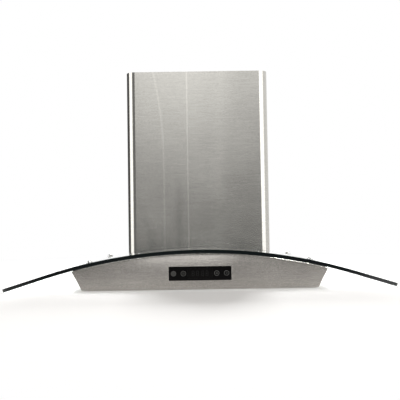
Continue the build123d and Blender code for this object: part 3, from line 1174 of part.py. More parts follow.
for name, side in SIDES.items():
    filter_x = side * FILTER_X
    with BuildPart() as filter_frame:
        with BuildSketch(Plane.XY.offset(FILTER_BOTTOM)):
            with Locations((filter_x, FILTER_Y)):
                Rectangle(FILTER_WIDTH, FILTER_DEPTH)
                Rectangle(FILTER_WIDTH - 2 * FILTER_LIP, FILTER_DEPTH - 2 * FILTER_LIP, mode=Mode.SUBTRACT)
        extrude(amount=FILTER_THICKNESS)
        with BuildSketch(Plane.XY.offset(FILTER_BOTTOM + FILTER_SHEET)):
            with Locations((filter_x, FILTER_Y)):
                Rectangle(FILTER_WIDTH - 2 * FILTER_SHEET, FILTER_DEPTH - 2 * FILTER_SHEET)
        extrude(amount=FILTER_THICKNESS - 2 * FILTER_SHEET, mode=Mode.SUBTRACT)
    finish(filter_frame, f"filter_frame_{name}")

    with BuildPart() as baffles:
        with BuildSketch(at_depth(BAFFLE_REAR)):
            with Locations((filter_x, 0)):
                with GridLocations(BAFFLE_PITCH, 0, LOWER_BAFFLES, 1):
                    add(baffle_outline(LOWER_BAFFLE_BASE, BAFFLE_HEIGHT))
                with GridLocations(BAFFLE_PITCH, 0, LOWER_BAFFLES - 1, 1):
                    add(baffle_outline(UPPER_BAFFLE_CROWN, -BAFFLE_HEIGHT))
        extrude(amount=BAFFLE_LENGTH)
    finish(baffles, f"filter_baffles_{name}")

    handle_y = FILTER_FRONT + HANDLE_FROM_FRONT
    handle_top = LOWER_BAFFLE_BASE - RUNNING_GAP
    handle_base = handle_top - HANDLE_PLATE_THICKNESS
    rod_reach = HANDLE_LENGTH / 2
    grip_z = handle_base - HANDLE_DROP
    rod_start = (filter_x - rod_reach, handle_y, handle_top - HANDLE_PLATE_THICKNESS / 2)
    rod_end = (filter_x + rod_reach, handle_y, handle_top - HANDLE_PLATE_THICKNESS / 2)
    with BuildPart() as handle:
        with BuildSketch(Plane.XY.offset(handle_base)):
            with Locations((filter_x, handle_y)):
                RectangleRounded(HANDLE_PLATE_LENGTH, HANDLE_PLATE_WIDTH, HANDLE_PLATE_CORNER)
        extrude(amount=HANDLE_PLATE_THICKNESS)
        with BuildLine():
            FilletPolyline(rod_start, (filter_x - rod_reach, handle_y, grip_z),
                           (filter_x + rod_reach, handle_y, grip_z), rod_end, radius=HANDLE_BEND)
        with BuildSketch(Plane(origin=rod_start, z_dir=(0, 0, -1))):
            Circle(HANDLE_ROD_RADIUS)
        sweep()
    finish(handle, f"filter_handle_{name}")

# ---------------------------------------------------------------- lamps

LAMP_BORE = LAMP_TUBE_RADIUS - LAMP_TUBE_WALL
LAMP_FACE = FRAME_BOTTOM - SEAT_GAP - LAMP_FLANGE_THICKNESS
LAMP_TUBE_TOP = FRAME_BOTTOM + LAMP_TUBE_HEIGHT
LENS_BASE = LAMP_FACE + SEAT_GAP
SINK_BASE = LENS_BASE + LAMP_LENS_THICKNESS + SEAT_GAP
FIN_COUNT = int(2 * LAMP_SINK_RADIUS / LAMP_FIN_PITCH)

for name, spot in LAMP_SPOTS.items():
    with BuildPart() as lamp_bezel:
        with BuildSketch(Plane.XY.offset(LAMP_FACE)):
            with Locations(spot):
                Circle(LAMP_FLANGE_RADIUS)
                Circle(LAMP_BORE, mode=Mode.SUBTRACT)
        extrude(amount=LAMP_FLANGE_THICKNESS)
        fillet(lamp_bezel.faces().sort_by(Axis.Z)[0].outer_wire().edges(), LAMP_FLANGE_THICKNESS / 2)
        with BuildSketch(Plane.XY.offset(LAMP_FACE)):
            with Locations(spot):
                Circle(LAMP_TUBE_RADIUS)
                Circle(LAMP_BORE, mode=Mode.SUBTRACT)
        extrude(amount=LAMP_TUBE_TOP - LAMP_FACE)
    finish(lamp_bezel, f"lamp_bezel_{name}")

    with BuildPart() as lamp_lens:
        with BuildSketch(Plane.XY.offset(LENS_BASE)):
            with Locations(spot):
                Circle(LAMP_BORE - SEAT_GAP)
        extrude(amount=LAMP_LENS_THICKNESS)
    finish(lamp_lens, f"lamp_lens_{name}")

    with BuildPart() as lamp_sink:
        with BuildSketch(Plane.XY.offset(SINK_BASE)):
            with Locations(spot):
                Circle(LAMP_BORE - SEAT_GAP)
        extrude(amount=LAMP_TUBE_TOP + SEAT_GAP - SINK_BASE)
        with BuildSketch(Plane.XY.offset(LAMP_TUBE_TOP + SEAT_GAP)):
            with Locations(spot):
                Circle(LAMP_SINK_RADIUS)
        extrude(amount=LAMP_SINK_HEIGHT)
        with BuildSketch(Plane.XY.offset(LAMP_TUBE_TOP + LAMP_SINK_PLATE)):
            with Locations(spot):
                with GridLocations(LAMP_FIN_PITCH, 0, FIN_COUNT, 1):
                    Rectangle(LAMP_FIN_PITCH - LAMP_FIN_THICKNESS, 2 * LAMP_SINK_RADIUS)
        extrude(amount=LAMP_SINK_HEIGHT, mode=Mode.SUBTRACT)
    finish(lamp_sink, f"lamp_sink_{name}")
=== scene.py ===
import math
from collections import namedtuple

import bmesh
import bpy
from mathutils import Matrix, Vector


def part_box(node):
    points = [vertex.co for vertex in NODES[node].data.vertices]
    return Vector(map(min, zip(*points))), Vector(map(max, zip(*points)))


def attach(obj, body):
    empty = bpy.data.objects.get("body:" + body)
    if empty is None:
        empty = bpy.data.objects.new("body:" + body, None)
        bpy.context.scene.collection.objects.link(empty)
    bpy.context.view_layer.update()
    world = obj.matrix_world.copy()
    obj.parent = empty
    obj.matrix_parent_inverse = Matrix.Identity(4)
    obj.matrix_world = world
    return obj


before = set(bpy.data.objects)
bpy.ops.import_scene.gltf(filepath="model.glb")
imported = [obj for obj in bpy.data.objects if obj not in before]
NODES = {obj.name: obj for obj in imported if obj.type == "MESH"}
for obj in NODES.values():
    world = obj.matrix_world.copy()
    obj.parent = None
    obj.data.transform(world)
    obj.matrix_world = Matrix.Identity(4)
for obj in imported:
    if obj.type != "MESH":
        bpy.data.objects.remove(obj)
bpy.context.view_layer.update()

# Curved glass range hood. Metres, in the frame of the solids: +Z is up, the front looks towards -Y.

# ---------------------------------------------------------------- sizes

CAMERA_PLACE = Vector((-0.007, -2.080, -0.1144))
CAMERA_YAW = math.radians(0.34)
CAMERA_PITCH = math.radians(2.40)
CAMERA_ROLL = math.radians(-0.90)
CAMERA_LENS = 63.0
CAMERA_SENSOR = 36.0

FLOOR_HEIGHT = -0.2516        # just under the tips of the glass
FLOOR_SIZE = 40.0

MARK_THICKNESS = 0.00008
MARK_SINK = 0.00003           # how far a printed mark reaches into what carries it
RING_OUTER = 0.0058
RING_INNER = 0.0050
RING_STEPS = 64

DIGIT_COUNT = 4
DIGIT_HEIGHT = 0.0115
DIGIT_WIDTH = 0.0060
DIGIT_BAR = 0.0011
DIGIT_PITCH = 0.0098
DIGITS_ASIDE = 0.0012         # how far both pairs of digits make way for the dots between them
DOT_RISE = DIGIT_HEIGHT / 5
SEGMENT_WIDTH = 0.9 * DIGIT_BAR
SEGMENT_GAPS = 1.6 * DIGIT_BAR              # by this a segment is shorter than its side of the digit


# ---------------------------------------------------------------- shader helpers

# Sockets of a mix node by number, because its kinds share their names
MIX_FLOATS = (2, 3)
MIX_COLOURS = (6, 7)
MIXED_COLOUR = 2


class Shader:
    """Node tree of one material or world, with short calls for the nodes used here."""

    def __init__(self, owner):
        owner.use_nodes = True
        self.tree = owner.node_tree
        self.tree.nodes.clear()

    def node(self, kind, inputs=None, **settings):
        """New node of that kind, with its inputs set or linked and its settings set."""
        made = self.tree.nodes.new(kind)
        for name, value in settings.items():
            setattr(made, name, value)
        for name, value in (inputs or {}).items():
            self.feed(made.inputs[name], value)
        return made

    def feed(self, socket, value):
        """Link an output to the socket, or set the socket's own value."""
        if isinstance(value, bpy.types.NodeSocket):
            self.tree.links.new(value, socket)
        else:
            socket.default_value = value

    def math(self, operation, first, second=0.0, clamp=False):
        """Result of one sum on one or two values."""
        made = self.node("ShaderNodeMath", {0: first, 1: second}, operation=operation)
        made.use_clamp = clamp
        return made.outputs[0]

    def remap(self, value, low, high, to_low=0.0, to_high=1.0, smooth=True):
        """Value carried from one range to another, and held at its ends."""
        kind = "SMOOTHSTEP" if smooth else "LINEAR"
        made = self.node("ShaderNodeMapRange", {"Value": value, "From Min": low, "From Max": high,
                                                "To Min": to_low, "To Max": to_high},
                         interpolation_type=kind)
        return made.outputs["Result"]

    def lerp(self, share, first, second):
        """First value at a share of 0, second value at a share of 1."""
        made = self.node("ShaderNodeMix", data_type="FLOAT")
        self.feed(made.inputs["Factor"], share)
        for socket, value in zip(MIX_FLOATS, (first, second)):
            self.feed(made.inputs[socket], value)
        return made.outputs[0]

    def mix_colour(self, share, first, second):
        """First colour at a share of 0, second colour at a share of 1."""
        made = self.node("ShaderNodeMix", data_type="RGBA")
        self.feed(made.inputs["Factor"], share)
        for socket, value in zip(MIX_COLOURS, (first, second)):
            self.feed(made.inputs[socket], value)
        return made.outputs[MIXED_COLOUR]

    def mix_shader(self, share, first, second):
        """First shader at a share of 0, second shader at a share of 1."""
        return self.node("ShaderNodeMixShader", {0: share, 1: first, 2: second}).outputs[0]

    def noise(self, vector, scale, detail=2.0, roughness=0.5):
        """Soft noise between 0 and 1."""
        made = self.node("ShaderNodeTexNoise", {"Vector": vector, "Scale": scale, "Detail": detail,
                                                "Roughness": roughness})
        return made.outputs["Fac"]

    def stretched(self, vector, scale):
        """Coordinates scaled apart along the three axes."""
        return self.node("ShaderNodeMapping", {"Vector": vector, "Scale": scale}).outputs["Vector"]

    def place(self):
        """Point on the surface in the frame at rest, in metres."""
        return self.node("ShaderNodeTexCoord").outputs["Object"]

    def split(self, vector):
        """The three parts of a vector, by the names of their axes."""
        return self.node("ShaderNodeSeparateXYZ", {"Vector": vector}).outputs

    def red(self, colour):
        """Red part of a colour, which here carries a level or the chance value of a flake."""
        return self.node("ShaderNodeSeparateColor", {"Color": colour}).outputs["Red"]

    def facing(self):
        """Direction of the surface in the object's own frame, by axes."""
        return self.split(self.node("ShaderNodeTexCoord").outputs["Normal"])

    def bump(self, height, strength, distance, under=None):
        """Direction of the surface with that height laid over it, or over another bump."""
        made = self.node("ShaderNodeBump", {"Height": height, "Strength": strength, "Distance": distance})
        if under is not None:
            self.feed(made.inputs["Normal"], under)
        return made.outputs["Normal"]

    def glow(self, kind, colour, strength):
        """Light of its own, from a surface or from the world behind everything."""
        return self.node(kind, {"Color": colour, "Strength": strength}).outputs[0]

    def principled(self, **inputs):
        """Main surface shader. Names are the sockets' names with _ for a space."""
        made = self.node("ShaderNodeBsdfPrincipled",
                         {name.replace("_", " "): value for name, value in inputs.items()})
        return made.outputs["BSDF"]

    def finish(self, surface, kind="ShaderNodeOutputMaterial"):
        """Hand the shader to the output of the material or world."""
        self.node(kind, {"Surface": surface})


def grey(level):
    """Opaque grey of that level."""
    return (level, level, level, 1.0)


def tint(colour, factor):
    """Colour made lighter or darker by a factor."""
    return tuple(min(1.0, channel * factor) for channel in colour[:3]) + (1.0,)


def new_material(name):
    """Material with an empty node tree."""
    made = bpy.data.materials.new(name)
    return made, Shader(made)


# ---------------------------------------------------------------- materials

NOISE_SPAN = (0.25, 0.75)     # nearly all values of a noise lie between these
CLOUD_SPAN = (0.30, 0.70)

# Brush lines: scales of the noise across and along them, their share, detail and roughness
Lines = namedtuple("Lines", "across along share detail roughness")
GRAIN = Lines(3200.0, 120.0, 0.3, 3.0, 0.6)
STREAK = Lines(560.0, 30.0, 0.3, 3.0, 0.55)
SPECK = Lines(420.0, 260.0, 0.4, 2.0, 0.5)

LINES_SPAN = (0.36, 0.64)
SHEET_CLOUD_SCALE = 7.0
SHEET_CLOUD_SHADE = 0.12      # how far clouds move the mix of the darker and the lighter metal
SHEET_CLOUD_ROUGHNESS = 0.012
GRAIN_ROUGHNESS = 0.02
GRAIN_RELIEF = 0.10
GRAIN_DEPTH = 0.00002

# Upright streak painted into the colour of a sheet, lighter or darker by its strength, and a painted
# reflection where it is lighter along the whole height: where it is, its bend above a height, and the
# heights where it fades out
Mark = namedtuple("Mark", "x bend bends_from width strength fades")

# Place where a front sheet bows back towards its upper edge
Bow = namedtuple("Bow", "middle half_width from_height strength")
BOW_FULL_SHARE = 0.3          # part of the half width over which the bow is full


def along_grain(direction, across, along):
    """Noise scale that is stretched along X, along Y, or round the walls."""
    return {
        "x": (along, across, across),
        "y": (across, along, across),
        "walls": (along, along, across),
    }[direction]


def along_tangent(direction):
    """Axis and turn of the tangent across which the brush lines run."""
    return {"x": ("X", 0.0), "y": ("Y", 0.0), "walls": ("Z", 0.25)}[direction]


def brush_lines(s, place, direction, lines):
    """One kind of brush lines as a noise."""
    stretch = along_grain(direction, lines.across, lines.along)
    return s.noise(s.stretched(place, stretch), 1.0, lines.detail, lines.roughness)


def streaks_and_painted_reflections(s, place, marks):
    """Lighter and darker upright streaks painted into the colour, as a factor for it; the lighter
    full-height ones are painted reflections.
    """
    axes = s.split(place)
    total = 1.0
    for mark in marks:
        climb = s.math("MAXIMUM", s.math("SUBTRACT", axes["Z"], mark.bends_from), 0.0)
        bend = s.math("MULTIPLY", s.math("MULTIPLY", climb, climb), mark.bend)
        off = s.math("ABSOLUTE", s.math("SUBTRACT", s.math("SUBTRACT", axes["X"], bend), mark.x))
        here = s.remap(axes["Z"], *mark.fades, mark.strength, 0.0)
        total = s.math("ADD", total, s.math("MULTIPLY", here, s.remap(off, 0.0, mark.width, 1.0, 0.0)))
    return total


def bowed(s, place, bow):
    """Height of a front sheet that bows back a little towards its upper edge."""
    axes = s.split(place)
    climb = s.math("MAXIMUM", s.math("SUBTRACT", axes["Z"], bow.from_height), 0.0)
    off = s.math("ABSOLUTE", s.math("SUBTRACT", axes["X"], bow.middle))
    back = s.math("MULTIPLY", s.math("MULTIPLY", climb, climb), -bow.strength)
    full = BOW_FULL_SHARE * bow.half_width
    return s.math("MULTIPLY", back, s.remap(off, full, bow.half_width, 1.0, 0.0))


def brushed_metal(name, colour, roughness, anisotropy, along, variation=0.05, marks=(), bow=None):
    """Metal sheet brushed along X, along Y, or along the walls whatever way they face."""
    material, s = new_material(name)
    place = s.place()
    kinds = (GRAIN, STREAK, SPECK)
    noises = [brush_lines(s, place, along, lines) for lines in kinds]
    grain = noises[0]
    cloud = s.noise(place, SHEET_CLOUD_SCALE, detail=3.0)
    mixed = 0.0
    for noise, lines in zip(noises, kinds):
        mixed = s.math("ADD", mixed, s.math("MULTIPLY", noise, lines.share))
    shade = s.math("ADD", s.remap(mixed, *LINES_SPAN),
                   s.remap(cloud, *CLOUD_SPAN, -SHEET_CLOUD_SHADE, SHEET_CLOUD_SHADE))
    base = s.mix_colour(shade, tint(colour, 1 - variation), tint(colour, 1 + variation))
    # Streaks painted into the colour; the lighter full-height ones are painted reflections.
    if marks:
        base = s.node("ShaderNodeVectorMath", {0: base, "Scale": streaks_and_painted_reflections(s, place, marks)},
                      operation="SCALE").outputs["Vector"]
    rough = s.math("ADD", s.remap(grain, *NOISE_SPAN, roughness - GRAIN_ROUGHNESS,
                                  roughness + GRAIN_ROUGHNESS),
                   s.remap(cloud, *CLOUD_SPAN, -SHEET_CLOUD_ROUGHNESS, SHEET_CLOUD_ROUGHNESS))
    axis, turn = along_tangent(along)
    tangent = s.node("ShaderNodeTangent", direction_type="RADIAL", axis=axis).outputs["Tangent"]
    relief = s.bump(grain, GRAIN_RELIEF, GRAIN_DEPTH)
    if bow:
        relief = s.bump(bowed(s, place, bow), 1.0, 1.0, relief)
    s.finish(s.principled(Base_Color=base, Metallic=1.0, Roughness=rough, Anisotropic=anisotropy,
                          Anisotropic_Rotation=turn, Tangent=tangent, Normal=relief))
    return material


def plain_metal(name, colour, roughness, grain_scale=700.0, variation=0.04):
    """Metal with a fine, even surface."""
    cloud_scale, roughness_spread, relief, depth = 25.0, 0.15, 0.05, 0.00003
    material, s = new_material(name)
    place = s.place()
    fine = s.noise(place, grain_scale, detail=3.0)
    cloud = s.noise(place, cloud_scale, detail=3.0)
    base = s.mix_colour(cloud, tint(colour, 1 - variation), tint(colour, 1 + variation))
    rough = s.remap(fine, *NOISE_SPAN, roughness * (1 - roughness_spread),
                    roughness * (1 + roughness_spread))
    s.finish(s.principled(Base_Color=base, Metallic=1.0, Roughness=rough,
                          Normal=s.bump(fine, relief, depth)))
    return material


def galvanised(name):
    """Zinc coated sheet with its flakes of crystals."""
    darkest, lightest = (0.27, 0.28, 0.29, 1), (0.41, 0.42, 0.43, 1)
    smoothest, roughest = 0.50, 0.66
    flake_scale, grain_scale, relief, depth = 120.0, 900.0, 0.06, 0.00003
    material, s = new_material(name)
    place = s.place()
    flakes = s.node("ShaderNodeTexVoronoi", {"Vector": place, "Scale": flake_scale, "Randomness": 1.0})
    shade = s.red(flakes.outputs["Color"])
    fine = s.noise(place, grain_scale)
    base = s.mix_colour(shade, darkest, lightest)
    rough = s.remap(shade, 0.0, 1.0, smoothest, roughest)
    s.finish(s.principled(Base_Color=base, Metallic=0.9, Roughness=rough,
                          Normal=s.bump(fine, relief, depth)))
    return material


def moulded(name, colour, roughness, relief=0.15, grain_scale=1500.0, gloss=0.5):
    """Moulded plastic or rubber with a fine grain."""
    cloud_scale, colour_spread, roughness_spread, depth = 18.0, 0.08, 0.1, 0.00004
    material, s = new_material(name)
    place = s.place()
    fine = s.noise(place, grain_scale)
    cloud = s.noise(place, cloud_scale, detail=3.0)
    base = s.mix_colour(cloud, tint(colour, 1 - colour_spread), tint(colour, 1 + colour_spread))
    rough = s.remap(cloud, *NOISE_SPAN, roughness * (1 - roughness_spread),
                    roughness * (1 + roughness_spread))
    s.finish(s.principled(Base_Color=base, Roughness=rough, Specular_IOR_Level=gloss,
                          Normal=s.bump(fine, relief, depth)))
    return material


def glossy_black(name, colour, roughness, gloss):
    """Glossy panel with a trace of finger marks."""
    smudge_stretch, smudge_span, smudge_roughness = (40.0, 40.0, 90.0), (0.45, 0.75), 0.12
    clean_shade, smudged_shade = 0.9, 1.15
    material, s = new_material(name)
    smudge = s.noise(s.stretched(s.place(), smudge_stretch), 1.0, detail=5.0, roughness=0.62)
    rough = s.remap(smudge, *smudge_span, roughness, roughness + smudge_roughness)
    base = s.mix_colour(smudge, tint(colour, clean_shade), tint(colour, smudged_shade))
    s.finish(s.principled(Base_Color=base, Roughness=rough, Specular_IOR_Level=gloss))
    return material


GLASS_IOR = 1.52
GLASS_COLOUR = (0.90, 0.95, 0.935, 1)
GLASS_EDGE_COLOUR = (0.0015, 0.006, 0.0062, 1)
GLASS_SHADOW_COLOUR = (0.975, 0.985, 0.98, 1)
GLASS_EDGE_ROUGHNESS = 0.05
GLOSSY_PASSES = 0.8           # share of what metal mirrors that comes straight through the sheet
TIP_FACING = (0.55, 0.75)     # how far sideways a face at the tips looks where it becomes an edge
EDGE_FACING = (0.35, 0.55)
DUST_SCALE = 60.0
DUST_SPAN = (0.4, 0.8)
DUST_ROUGHNESS = 0.012
VEIN_STRETCH = (30.0, 4.0, 900.0)
VEIN_DARKER = 0.7
VEIN_LIGHTER = 1.6


def canopy_glass(name):
    """Clear sheet that is dark and green where its polished edge is looked into."""
    material, s = new_material(name)
    facing = s.facing()
    sideways = s.math("MAXIMUM", s.math("ABSOLUTE", facing["Y"]),
                      s.remap(s.math("ABSOLUTE", facing["X"]), *TIP_FACING))
    edge = s.remap(sideways, *EDGE_FACING)
    dust = s.noise(s.place(), DUST_SCALE, detail=4.0)
    rough = s.remap(dust, *DUST_SPAN, 0.0, DUST_ROUGHNESS)
    clear = s.principled(Base_Color=GLASS_COLOUR, Transmission_Weight=1.0, IOR=GLASS_IOR, Roughness=rough)
    vein = s.noise(s.stretched(s.place(), VEIN_STRETCH), 1.0)
    depth = s.mix_colour(vein, tint(GLASS_EDGE_COLOUR, VEIN_DARKER), tint(GLASS_EDGE_COLOUR, VEIN_LIGHTER))
    dark = s.principled(Base_Color=depth, IOR=GLASS_IOR, Roughness=GLASS_EDGE_ROUGHNESS)
    body = s.mix_shader(edge, clear, dark)
    path = s.node("ShaderNodeLightPath").outputs
    glossy = s.math("MULTIPLY", path["Is Glossy Ray"], GLOSSY_PASSES)
    passes = s.math("MAXIMUM", path["Is Shadow Ray"], glossy)
    see_through = s.node("ShaderNodeBsdfTransparent", {"Color": GLASS_SHADOW_COLOUR}).outputs[0]
    share = s.math("MULTIPLY", passes, s.math("SUBTRACT", 1.0, edge))
    s.finish(s.mix_shader(share, body, see_through))
    return material


def lamp_glass(name):
    """Frosted lens of a lamp."""
    darkest, lightest = (0.86, 0.86, 0.83, 1), (0.93, 0.93, 0.90, 1)
    grain_scale, cloud_scale, relief, depth = 1800.0, 60.0, 0.2, 0.00005
    material, s = new_material(name)
    place = s.place()
    fine = s.noise(place, grain_scale)
    cloud = s.noise(place, cloud_scale)
    base = s.mix_colour(cloud, darkest, lightest)
    s.finish(s.principled(Base_Color=base, Roughness=0.42, Transmission_Weight=0.25, IOR=1.5,
                          Normal=s.bump(fine, relief, depth)))
    return material


def circuit_board(name):
    """Green board with paler traces."""
    board, trace = (0.01, 0.10, 0.035, 1), (0.05, 0.22, 0.09, 1)
    trace_scale, trace_width = 180.0, 0.012
    material, s = new_material(name)
    traces = s.node("ShaderNodeTexBrick", {"Vector": s.place(), "Scale": trace_scale,
                                           "Mortar Size": trace_width})
    s.finish(s.principled(Base_Color=s.mix_colour(traces.outputs["Fac"], board, trace), Roughness=0.4))
    return material


# Streaks painted into the chimney's colour. The two lighter ones that run the whole height, one straight
# and one bent, are painted reflections of upright things in the studio; of the other three, two darken the
# colour low down and one lightens a band right of the middle.
CHIMNEY_STREAKS_AND_REFLECTIONS = (
    Mark(-0.0265, 0.0, 0.0, 0.0036, 0.18, (0.1, 0.9)),
    Mark(-0.0880, -0.46, 0.06, 0.0050, 0.11, (0.0, 0.9)),
    Mark(-0.0500, 0.0, 0.0, 0.0180, -0.13, (-0.06, 0.08)),
    Mark(-0.1150, -1.6, -0.2, 0.0220, -0.10, (-0.16, 0.02)),
    Mark(0.0500, 0.10, -0.1, 0.0300, 0.05, (0.2, 0.6)),
)
BODY_BOW = Bow(middle=-0.035, half_width=0.19, from_height=-0.222, strength=1.15)

# How each material is made: its function and what it takes
LOOKS = {
    "chimney_steel": (brushed_metal, {"colour": (0.609, 0.594, 0.554), "roughness": 0.17,
                                      "anisotropy": 0.85, "along": "walls", "variation": 0.085,
                                      "marks": CHIMNEY_STREAKS_AND_REFLECTIONS}),
    "body_steel": (brushed_metal, {"colour": (0.604, 0.573, 0.532), "roughness": 0.18,
                                   "anisotropy": 0.85, "along": "walls", "variation": 0.13,
                                   "bow": BODY_BOW}),
    "sheet_steel": (brushed_metal, {"colour": (0.46, 0.46, 0.45), "roughness": 0.40,
                                    "anisotropy": 0.6, "along": "x"}),
    # Steel of the deck under the glass, set far darker than the other steel: painted shade, so that the
    # chimney mirrors a dark deck at its foot.
    "deck_steel": (brushed_metal, {"colour": (0.20, 0.20, 0.195), "roughness": 0.45,
                                   "anisotropy": 0.5, "along": "x"}),
    "filter_steel": (brushed_metal, {"colour": (0.56, 0.555, 0.54), "roughness": 0.33,
                                     "anisotropy": 0.6, "along": "y"}),
    "chrome": (plain_metal, {"colour": (0.80, 0.80, 0.79), "roughness": 0.08}),
    "plain_steel": (plain_metal, {"colour": (0.62, 0.62, 0.61), "roughness": 0.28}),
    "satin_ring": (plain_metal, {"colour": (0.70, 0.70, 0.69), "roughness": 0.30}),
    "cast_aluminium": (plain_metal, {"colour": (0.58, 0.58, 0.58), "roughness": 0.48,
                                     "grain_scale": 300.0, "variation": 0.10}),
    "galvanised": (galvanised, {}),
    "motor_paint": (moulded, {"colour": (0.055, 0.056, 0.06), "roughness": 0.42, "relief": 0.1,
                              "grain_scale": 500.0}),
    "black_rubber": (moulded, {"colour": (0.012, 0.012, 0.012), "roughness": 0.70, "relief": 0.25}),
    "black_plastic": (moulded, {"colour": (0.030, 0.030, 0.031), "roughness": 0.50}),
    "grey_plastic": (moulded, {"colour": (0.19, 0.19, 0.195), "roughness": 0.48}),
    "panel_black": (glossy_black, {"colour": (0.0040, 0.0036, 0.0038), "roughness": 0.12, "gloss": 0.12}),
    "display_black": (glossy_black, {"colour": (0.0050, 0.0044, 0.0044), "roughness": 0.06,
                                     "gloss": 0.14}),
    "button_black": (moulded, {"colour": (0.006, 0.006, 0.006), "roughness": 0.35, "relief": 0.08,
                               "gloss": 0.15}),
    "button_pale": (moulded, {"colour": (0.085, 0.085, 0.083), "roughness": 0.40, "relief": 0.06,
                              "gloss": 0.2}),
    "mark_pale": (moulded, {"colour": (0.16, 0.16, 0.155), "roughness": 0.45, "relief": 0.05,
                            "gloss": 0.2}),
    "mark_dark": (moulded, {"colour": (0.045, 0.045, 0.045), "roughness": 0.45, "relief": 0.05,
                            "gloss": 0.2}),
    "segment_unlit": (moulded, {"colour": (0.012, 0.0125, 0.012), "roughness": 0.35, "relief": 0.02,
                                "gloss": 0.2}),
    "canopy_glass": (canopy_glass, {}),
    "lamp_glass": (lamp_glass, {}),
    "circuit_board": (circuit_board, {}),
}
MATERIALS = {name: make(name, **settings) for name, (make, settings) in LOOKS.items()}


def both(name):
    """Names of a left and a right piece."""
    return [f"{name}_left", f"{name}_right"]


FINISHES = {
    "chimney_steel": ["lower_chimney", "upper_chimney"],
    "body_steel": ["hood_shell", "control_bezel"],
    "sheet_steel": ["rear_panel", "light_panel", "rear_rail", "centre_rail", *both("side_rail")],
    "deck_steel": ["top_deck"],
    "filter_steel": [*both("filter_frame"), *both("filter_baffles")],
    "chrome": ["glass_screws", *both("filter_handle")],
    "plain_steel": ["glass_washers", "deck_screws", "motor_screws", "collar_screws", "chimney_screws",
                    "fan_shaft", "flap_pins"],
    "satin_ring": both("lamp_bezel"),
    "cast_aluminium": both("lamp_sink"),
    "galvanised": ["blower_housing", "chimney_bracket", "motor_spider", *both("chimney_clip")],
    "motor_paint": ["motor"],
    "black_rubber": ["glass_gasket", "motor_grommets"],
    "black_plastic": ["control_box", "blower_scroll", "inlet_ring", "wiring_box", "wiring_lid",
                      "cable_gland", "capacitor"],
    "grey_plastic": ["impeller", "duct_collar", *both("damper_flap")],
    "panel_black": ["control_panel"],
    "display_black": ["display_window"],
    "button_black": ["button_timer", "button_speed", "button_light"],
    "button_pale": ["button_power"],
    "canopy_glass": ["glass_canopy"],
    "lamp_glass": both("lamp_lens"),
    "circuit_board": ["control_board"],
}

for finish_name, nodes in FINISHES.items():
    for node in nodes:
        slots = NODES[node].data.materials
        slots.clear()
        slots.append(MATERIALS[finish_name])


# ---------------------------------------------------------------- printed marks on the panel

def ring_points(radius, start=0.0, turn=2 * math.pi):
    """Points on a circle, or on part of one, counted from straight up and clockwise."""
    angles = [start + turn * step / RING_STEPS for step in range(RING_STEPS + 1)]
    return [(radius * math.sin(angle), radius * math.cos(angle)) for angle in angles]


def turned(points, angle):
    """Points turned clockwise about the middle of the mark."""
    c, s = math.cos(angle), math.sin(angle)
    return [(x * c + z * s, z * c - x * s) for x, z in points]


def rectangle(width, height, x=0.0, z=0.0, turn=0.0):
    """Corners of a rectangle about a point, turned about the middle of the mark."""
    left, right, low, high = x - width / 2, x + width / 2, z - height / 2, z + height / 2
    return turned([(left, low), (right, low), (right, high), (left, high)], turn)


def add_plate(mesh, outline, back, front):
    """Flat plate with that outline in X and Z, between two depths."""
    rear = [mesh.verts.new((x, back, z)) for x, z in outline]
    face = [mesh.verts.new((x, front, z)) for x, z in outline]
    mesh.faces.new(face)
    mesh.faces.new(list(reversed(rear)))
    for i in range(len(outline)):
        j = (i + 1) % len(outline)
        mesh.faces.new((rear[i], rear[j], face[j], face[i]))


def add_ring(mesh, inner, outer, back, front, start=0.0, turn=2 * math.pi):
    """Flat ring between two radii, or part of one, as a row of short plates."""
    near, far = ring_points(inner, start, turn), ring_points(outer, start, turn)
    for i in range(RING_STEPS):
        add_plate(mesh, (near[i], far[i], far[i + 1], near[i + 1]), back, front)


def mark_piece(name, draw, box, material, body):
    """Thin printed mark in the middle of the front face of what carries it, which has that box."""
    low, high = box
    mesh = bmesh.new()
    draw(mesh, low.y + MARK_SINK, low.y - MARK_THICKNESS)
    bmesh.ops.translate(mesh, verts=mesh.verts, vec=((low.x + high.x) / 2, 0, (low.z + high.z) / 2))
    bmesh.ops.remove_doubles(mesh, verts=mesh.verts, dist=1e-7)
    bmesh.ops.recalc_face_normals(mesh, faces=mesh.faces)
    data = bpy.data.meshes.new(name)
    mesh.to_mesh(data)
    mesh.free()
    data.materials.append(MATERIALS[material])
    piece = bpy.data.objects.new(name, data)
    bpy.context.scene.collection.objects.link(piece)
    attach(piece, body)


def draw_ring(mesh, back, front):
    """Ring that runs round an icon."""
    add_ring(mesh, RING_INNER, RING_OUTER, back, front)


def draw_power(mesh, back, front):
    """Open ring with a bar through its gap."""
    inner, outer, half_gap = 0.0021, 0.0026, math.radians(38)
    bar_width, bar_height, bar_rise = 0.0005, 0.0024, 0.0019
    add_ring(mesh, inner, outer, back, front, start=half_gap, turn=2 * math.pi - 2 * half_gap)
    add_plate(mesh, rectangle(bar_width, bar_height, z=bar_rise), back, front)


def draw_clock(mesh, back, front):
    """Round clock with two hands, at three o'clock."""
    inner, outer = 0.0020, 0.0024
    hand_width, minute_hand, hour_hand = 0.0004, 0.0014, 0.0011
    add_ring(mesh, inner, outer, back, front)
    add_plate(mesh, rectangle(hand_width, minute_hand, z=minute_hand / 2), back, front)
    add_plate(mesh, rectangle(hand_width, hour_hand, z=hour_hand / 2, turn=math.radians(90)), back, front)


def draw_fan(mesh, back, front):
    """Three blades about a hub."""
    hub, blades = 0.0005, 3
    blade = ((0.0002, 0.0006), (0.0014, 0.0012), (0.0016, 0.0020), (0.0008, 0.0026), (-0.0002, 0.0020))
    add_plate(mesh, ring_points(hub)[:-1], back, front)
    for i in range(blades):
        add_plate(mesh, turned(blade, 2 * math.pi * i / blades), back, front)


